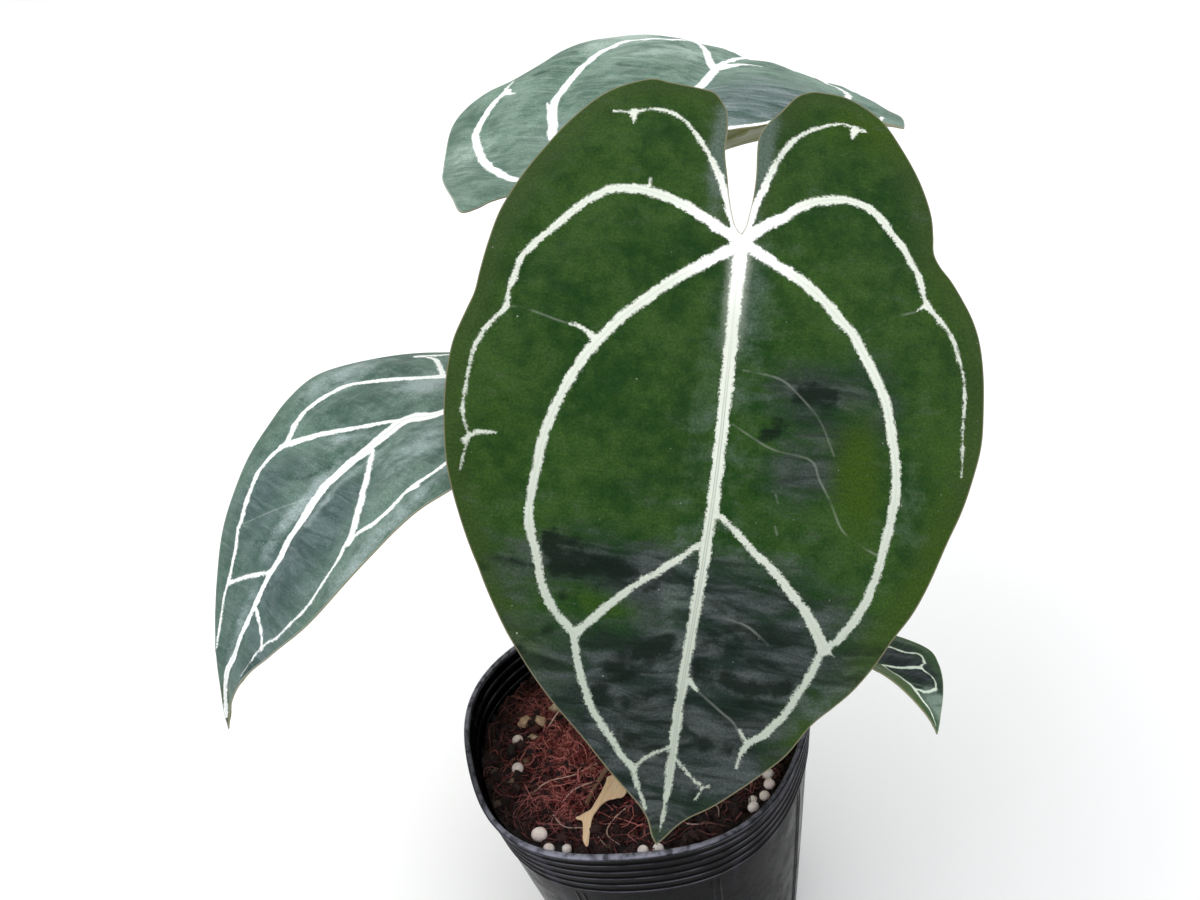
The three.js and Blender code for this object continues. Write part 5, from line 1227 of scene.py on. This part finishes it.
def build_prills(material):
    unit, faces = ball(4)
    for i, (x, y, radius) in enumerate(PRILLS):
        lumpy = 1 + 0.035 * np.sin(2.2 * unit[:, 0] + i) + 0.03 * np.sin(3.1 * unit[:, 1] + 2 * i)
        vertices = unit * lumpy[:, None] * radius * (1, 0.97, 0.94)
        spot = np.array([x, y, float(ground(x, y)) + 0.35 * radius])
        piece(f"bead_{i + 1}", turned(vertices, i, 2 * i) + spot, faces, [material], "fertiliser_bead",
              [f"prill_{i + 1}"], {"tone": np.full(len(unit), (0.37 * i) % 1)})


def build_chips(material):
    unit, faces = ball(4)
    for i, (x, y, turn) in enumerate(CHIPS):
        rough = 1 + 0.12 * np.sin(5 * unit[:, 0] + 3 * i) * np.sin(4 * unit[:, 1] + i)
        rough += 0.05 * np.sin(11 * unit[:, 2] + 7 * unit[:, 0])
        vertices = turned(unit * rough[:, None] * (2.7, 1.8, 1.2), 0.5, turn)
        spot = np.array([x, y, float(ground(x, y)) + 0.5])
        piece(f"buff_chip_{i + 1}", vertices + spot, faces, [material], "buff_chip", [f"chip_{i + 1}"],
              {"tone": np.full(len(unit), (0.31 * i) % 1)})


def build_bract(material):
    """The dry bract: thin, papery, forked at one end, arched across the lumps."""
    outline = spline([*BRACT["outline"], BRACT["outline"][0]], BRACT["mesh"])[:-1][::-1]
    points, faces = flat_mesh(outline, BRACT["mesh"], 9)
    start = np.array(BRACT["start"], float)
    way = np.array(BRACT["end"], float) - start
    length = np.linalg.norm(way)
    t = np.clip((points - start) @ way / length ** 2, 0, 1)
    s = (points - start) @ np.array([-way[1], way[0]]) / length
    z = SOIL_TOP - SOIL_FALL * points[:, 1] + BRACT["lie"] + BRACT["arch"] * np.sin(np.pi * t)
    z += 0.12 * np.sin(2.4 * s + 5 * t) + 0.1 * np.sin(17 * t + 1.3 * s)
    half = BRACT["thickness"] / 2
    top, under = np.column_stack([points, z + half]), np.column_stack([points, z - half])
    flat = np.stack([s, length * t, np.zeros(len(t))], 1)
    return piece("dry_bract", *skins(top, under, faces), [material], "dry_bract", ["bract"],
                 {"flat": np.vstack([flat, flat])})


def bead_material():
    m = Shader("bead")
    where, tone = m.place(), m.attribute("tone")
    noise = m.noise(where, 0.8, 4)
    colour = m.mix(tone, (0.86, 0.74, 0.70), (0.93, 0.87, 0.86))
    colour = m.layer(colour, (0.66, 0.48, 0.43), noise, 0.35, 0.75, 0.0, 0.6)
    glow = {"Subsurface Weight": 0.1, "Subsurface Radius": (0.001, 0.0006, 0.0004)}
    return m.finish(colour, m.step(noise, 0.3, 0.7, 0.35, 0.6), m.bump(noise, 0.4, 0.2), glow)


def chip_material():
    m = Shader("chip")
    where, tone = m.place(), m.attribute("tone")
    noise = m.noise(where, 1.1, 5, 0.65)
    colour = m.mix(tone, (0.64, 0.43, 0.28), (0.78, 0.60, 0.44))
    colour = m.layer(colour, (0.22, 0.09, 0.05), noise, 0.4, 0.7, 0.0, 0.6)
    return m.finish(colour, m.step(noise, 0.3, 0.7, 0.6, 0.9), m.bump(noise, 0.8, 0.5))


def bract_material():
    m = Shader("bract")
    flat = m.attribute("flat", "Vector")
    streak = m.noise(m.stretched(flat, (1.6, 0.12, 1)), 1.0, 5, 0.65)
    colour = m.layer((0.80, 0.50, 0.28), (0.92, 0.72, 0.50), streak, 0.3, 0.7)
    colour = m.layer(colour, (0.60, 0.36, 0.08), m.noise(flat, 0.22, 4), 0.56, 0.68, 0.0, 0.75)
    glow = {"Subsurface Weight": 0.15, "Subsurface Radius": (0.002, 0.001, 0.0005)}
    return m.finish(colour, m.step(streak, 0.3, 0.7, 0.5, 0.75), m.bump(streak, 0.7, 0.4), glow)


# Stem

STEM_PROFILE = [(0.2, -16), (4, -16), (7, -8), (7.4, 0), (6.8, 5), (7.4, 9), (5.9, 14), (3.3, 17), (0.2, 18)]
STEM_SIDES = 48
# A sheath is its turn and its height.
SHEATHS = [(0.5, 27), (2.4, 22), (4.3, 25)]
SHEATH_LONG, SHEATH_WIDE, SHEATH_THICK = 30, 16, 0.45
ROOTS = [
    [(3, 5, 94), (-4, -4, 92.6), (-12, -14, 92.6), (-19, -25, 93.4), (-24, -33, 90)],
    [(9, 5, 93), (17, -4, 92), (26, -10, 92.4), (33, -19, 88.6)],
    [(6, 12, 92), (0, 22, 89), (-8, 33, 87.6), (-14, 38, 84)],
]


def build_stem(material):
    """The rootstock with its dry sheaths and its surface roots."""
    heap = Heap()
    base = float(ground(*STEM))
    angles = np.linspace(0, 2 * np.pi, STEM_SIDES, endpoint=False)
    rows = []
    for radius, z in spline(STEM_PROFILE, 0.5):
        swing = radius * (1 + 0.05 * np.sin(3 * angles + 0.4 * z) + 0.03 * np.sin(7 * angles - z))
        rows.append(np.stack([STEM[0] + swing * np.cos(angles), STEM[1] + swing * np.sin(angles),
                              np.full(STEM_SIDES, base + z)], 1))
    bottom, last = range(STEM_SIDES), (len(rows) - 1) * STEM_SIDES
    caps = [tuple(bottom)[::-1], tuple(last + k for k in bottom)]
    heap.add(np.vstack(rows), ring_faces(len(rows), STEM_SIDES) + caps, 0.3)
    for turn, height in SHEATHS:
        heap.add(*sheath(turn, height, base), 0.7)
    for path in ROOTS:
        heap.add(*tube(path, lambda t: 0.95 - 0.35 * t, 60, 10), 1.0)
    return heap.piece("rootstock", material, "rootstock", ["stem"])


def sheath(turn, height, base):
    """A dry pointed sheath that wraps part of the stem."""
    rows = []
    for layer in (0.0, SHEATH_THICK):
        for t in np.linspace(0, 1, SHEATH_LONG + 1):
            reach = 7.9 - 3.2 * t + 1.2 * math.sin(math.pi * t) - layer
            spread = 1.15 * (1 - t) ** 0.8 + 0.02
            for s in np.linspace(-1, 1, SHEATH_WIDE + 1):
                angle, out = turn + math.pi / 2 + s * spread, reach + 0.18 * math.sin(14 * s + 9 * t)
                rows.append((STEM[0] + out * math.cos(angle), STEM[1] + out * math.sin(angle),
                             base - 2 + 0.86 * height * t))
    count = SHEATH_WIDE + 1
    total = (SHEATH_LONG + 1) * count
    faces = []
    for i in range(SHEATH_LONG):
        for k in range(SHEATH_WIDE):
            a = i * count + k
            faces.append((a, a + 1, a + count + 1, a + count))
            faces.append((a + total, a + count + total, a + count + 1 + total, a + 1 + total))
    loop = list(range(SHEATH_WIDE)) + [i * count + SHEATH_WIDE for i in range(SHEATH_LONG)]
    loop += [SHEATH_LONG * count + k for k in range(SHEATH_WIDE, 0, -1)]
    loop += [i * count for i in range(SHEATH_LONG, 0, -1)]
    faces += [(a, a + total, b + total, b) for a, b in zip(loop, loop[1:] + loop[:1])]
    return np.array(rows), faces


def stem_material():
    m = Shader("rootstock")
    where, tone = m.place(), m.attribute("tone")
    streak = m.noise(m.stretched(where, (1, 1, 0.12)), 1.6, 5, 0.65)
    colour = m.layer((0.09, 0.05, 0.02), (0.24, 0.15, 0.07), streak, 0.3, 0.7)
    colour = m.layer(colour, (0.36, 0.24, 0.11), tone, 0.45, 0.6, 0.0, 0.7)
    colour = m.layer(colour, (0.20, 0.10, 0.07), tone, 0.85, 0.95, 0.0, 0.7)
    return m.finish(colour, m.step(streak, 0.3, 0.7, 0.55, 0.85), m.bump(streak, 0.8, 0.5))


# The whole object

def build_plant():
    under, margin, stalk = leaf_under(), leaf_edge(), stalk_material()
    for name in LEAVES:
        build_blade(name, [leaf_top(name), under, margin])
        build_stalk(name, stalk)
    build_stem(stem_material())


def build_filled_pot():
    build_pot(pot_material())
    build_soil(soil_material())
    build_coir(fibre_material())
    build_crumbs(crumb_material())
    build_prills(bead_material())
    build_chips(chip_material())
    build_bract(bract_material())


# Studio

LAMPS = [("key", (-0.45, 0.45, 1.3), 0.9, 6, (1.0, 0.99, 0.96)),
         ("fill", (0.8, -0.7, 1.1), 1.0, 3, (0.95, 0.97, 1.0))]
LAMP_TARGET = (0, 0.02, 0.15)


def build_studio():
    bpy.ops.mesh.primitive_plane_add(size=12, location=(0, 0, 0))
    floor = bpy.context.object
    floor.name = "floor"
    m = Shader("floor")
    where = m.node("TexCoord").outputs["Object"]
    colour = m.mix(m.noise(where, 3.0, 2), (0.955, 0.955, 0.955), (0.97, 0.97, 0.97))
    floor.data.materials.append(m.finish(colour, 0.9, constants={"Specular IOR Level": 0.1}))
    world = bpy.data.worlds.new("studio")
    bpy.context.scene.world = world
    world.use_nodes = True
    sky = world.node_tree.nodes["Background"].inputs
    sky["Color"].default_value, sky["Strength"].default_value = (0.97, 0.98, 1.0, 1), 1.05
    bpy.context.scene.view_settings.view_transform = "Standard"
    for name, place, size, power, colour in LAMPS:
        lamp = bpy.data.lights.new(name, "AREA")
        lamp.size, lamp.energy, lamp.color = size, power, colour
        made = bpy.data.objects.new(name, lamp)
        bpy.context.scene.collection.objects.link(made)
        made.location = place
        made.rotation_euler = (Vector(LAMP_TARGET) - Vector(place)).to_track_quat("-Z", "Y").to_euler()


def build_camera():
    camera = bpy.data.cameras.new("camera")
    camera.sensor_width = SENSOR_WIDTH
    camera.lens = SENSOR_WIDTH * FOCAL_PX / PHOTO_WIDTH
    camera.clip_start = 0.01
    made = bpy.data.objects.new("camera", camera)
    bpy.context.scene.collection.objects.link(made)
    made.location = CAMERA_PLACE
    pitch, roll = math.radians(CAMERA_PITCH), math.radians(CAMERA_ROLL)
    forward = Vector((0, math.cos(pitch), -math.sin(pitch)))
    level, upward = Vector((1, 0, 0)), Vector((0, math.sin(pitch), math.cos(pitch)))
    right = level * math.cos(roll) + upward * math.sin(roll)
    up = upward * math.cos(roll) - level * math.sin(roll)
    rotation = made.rotation_euler.to_matrix()
    for row in range(3):
        rotation[row] = (right[row], up[row], -forward[row])
    made.rotation_euler = rotation.to_euler()
    bpy.context.scene.camera = made


build_camera()
build_studio()
build_plant()
build_filled_pot()
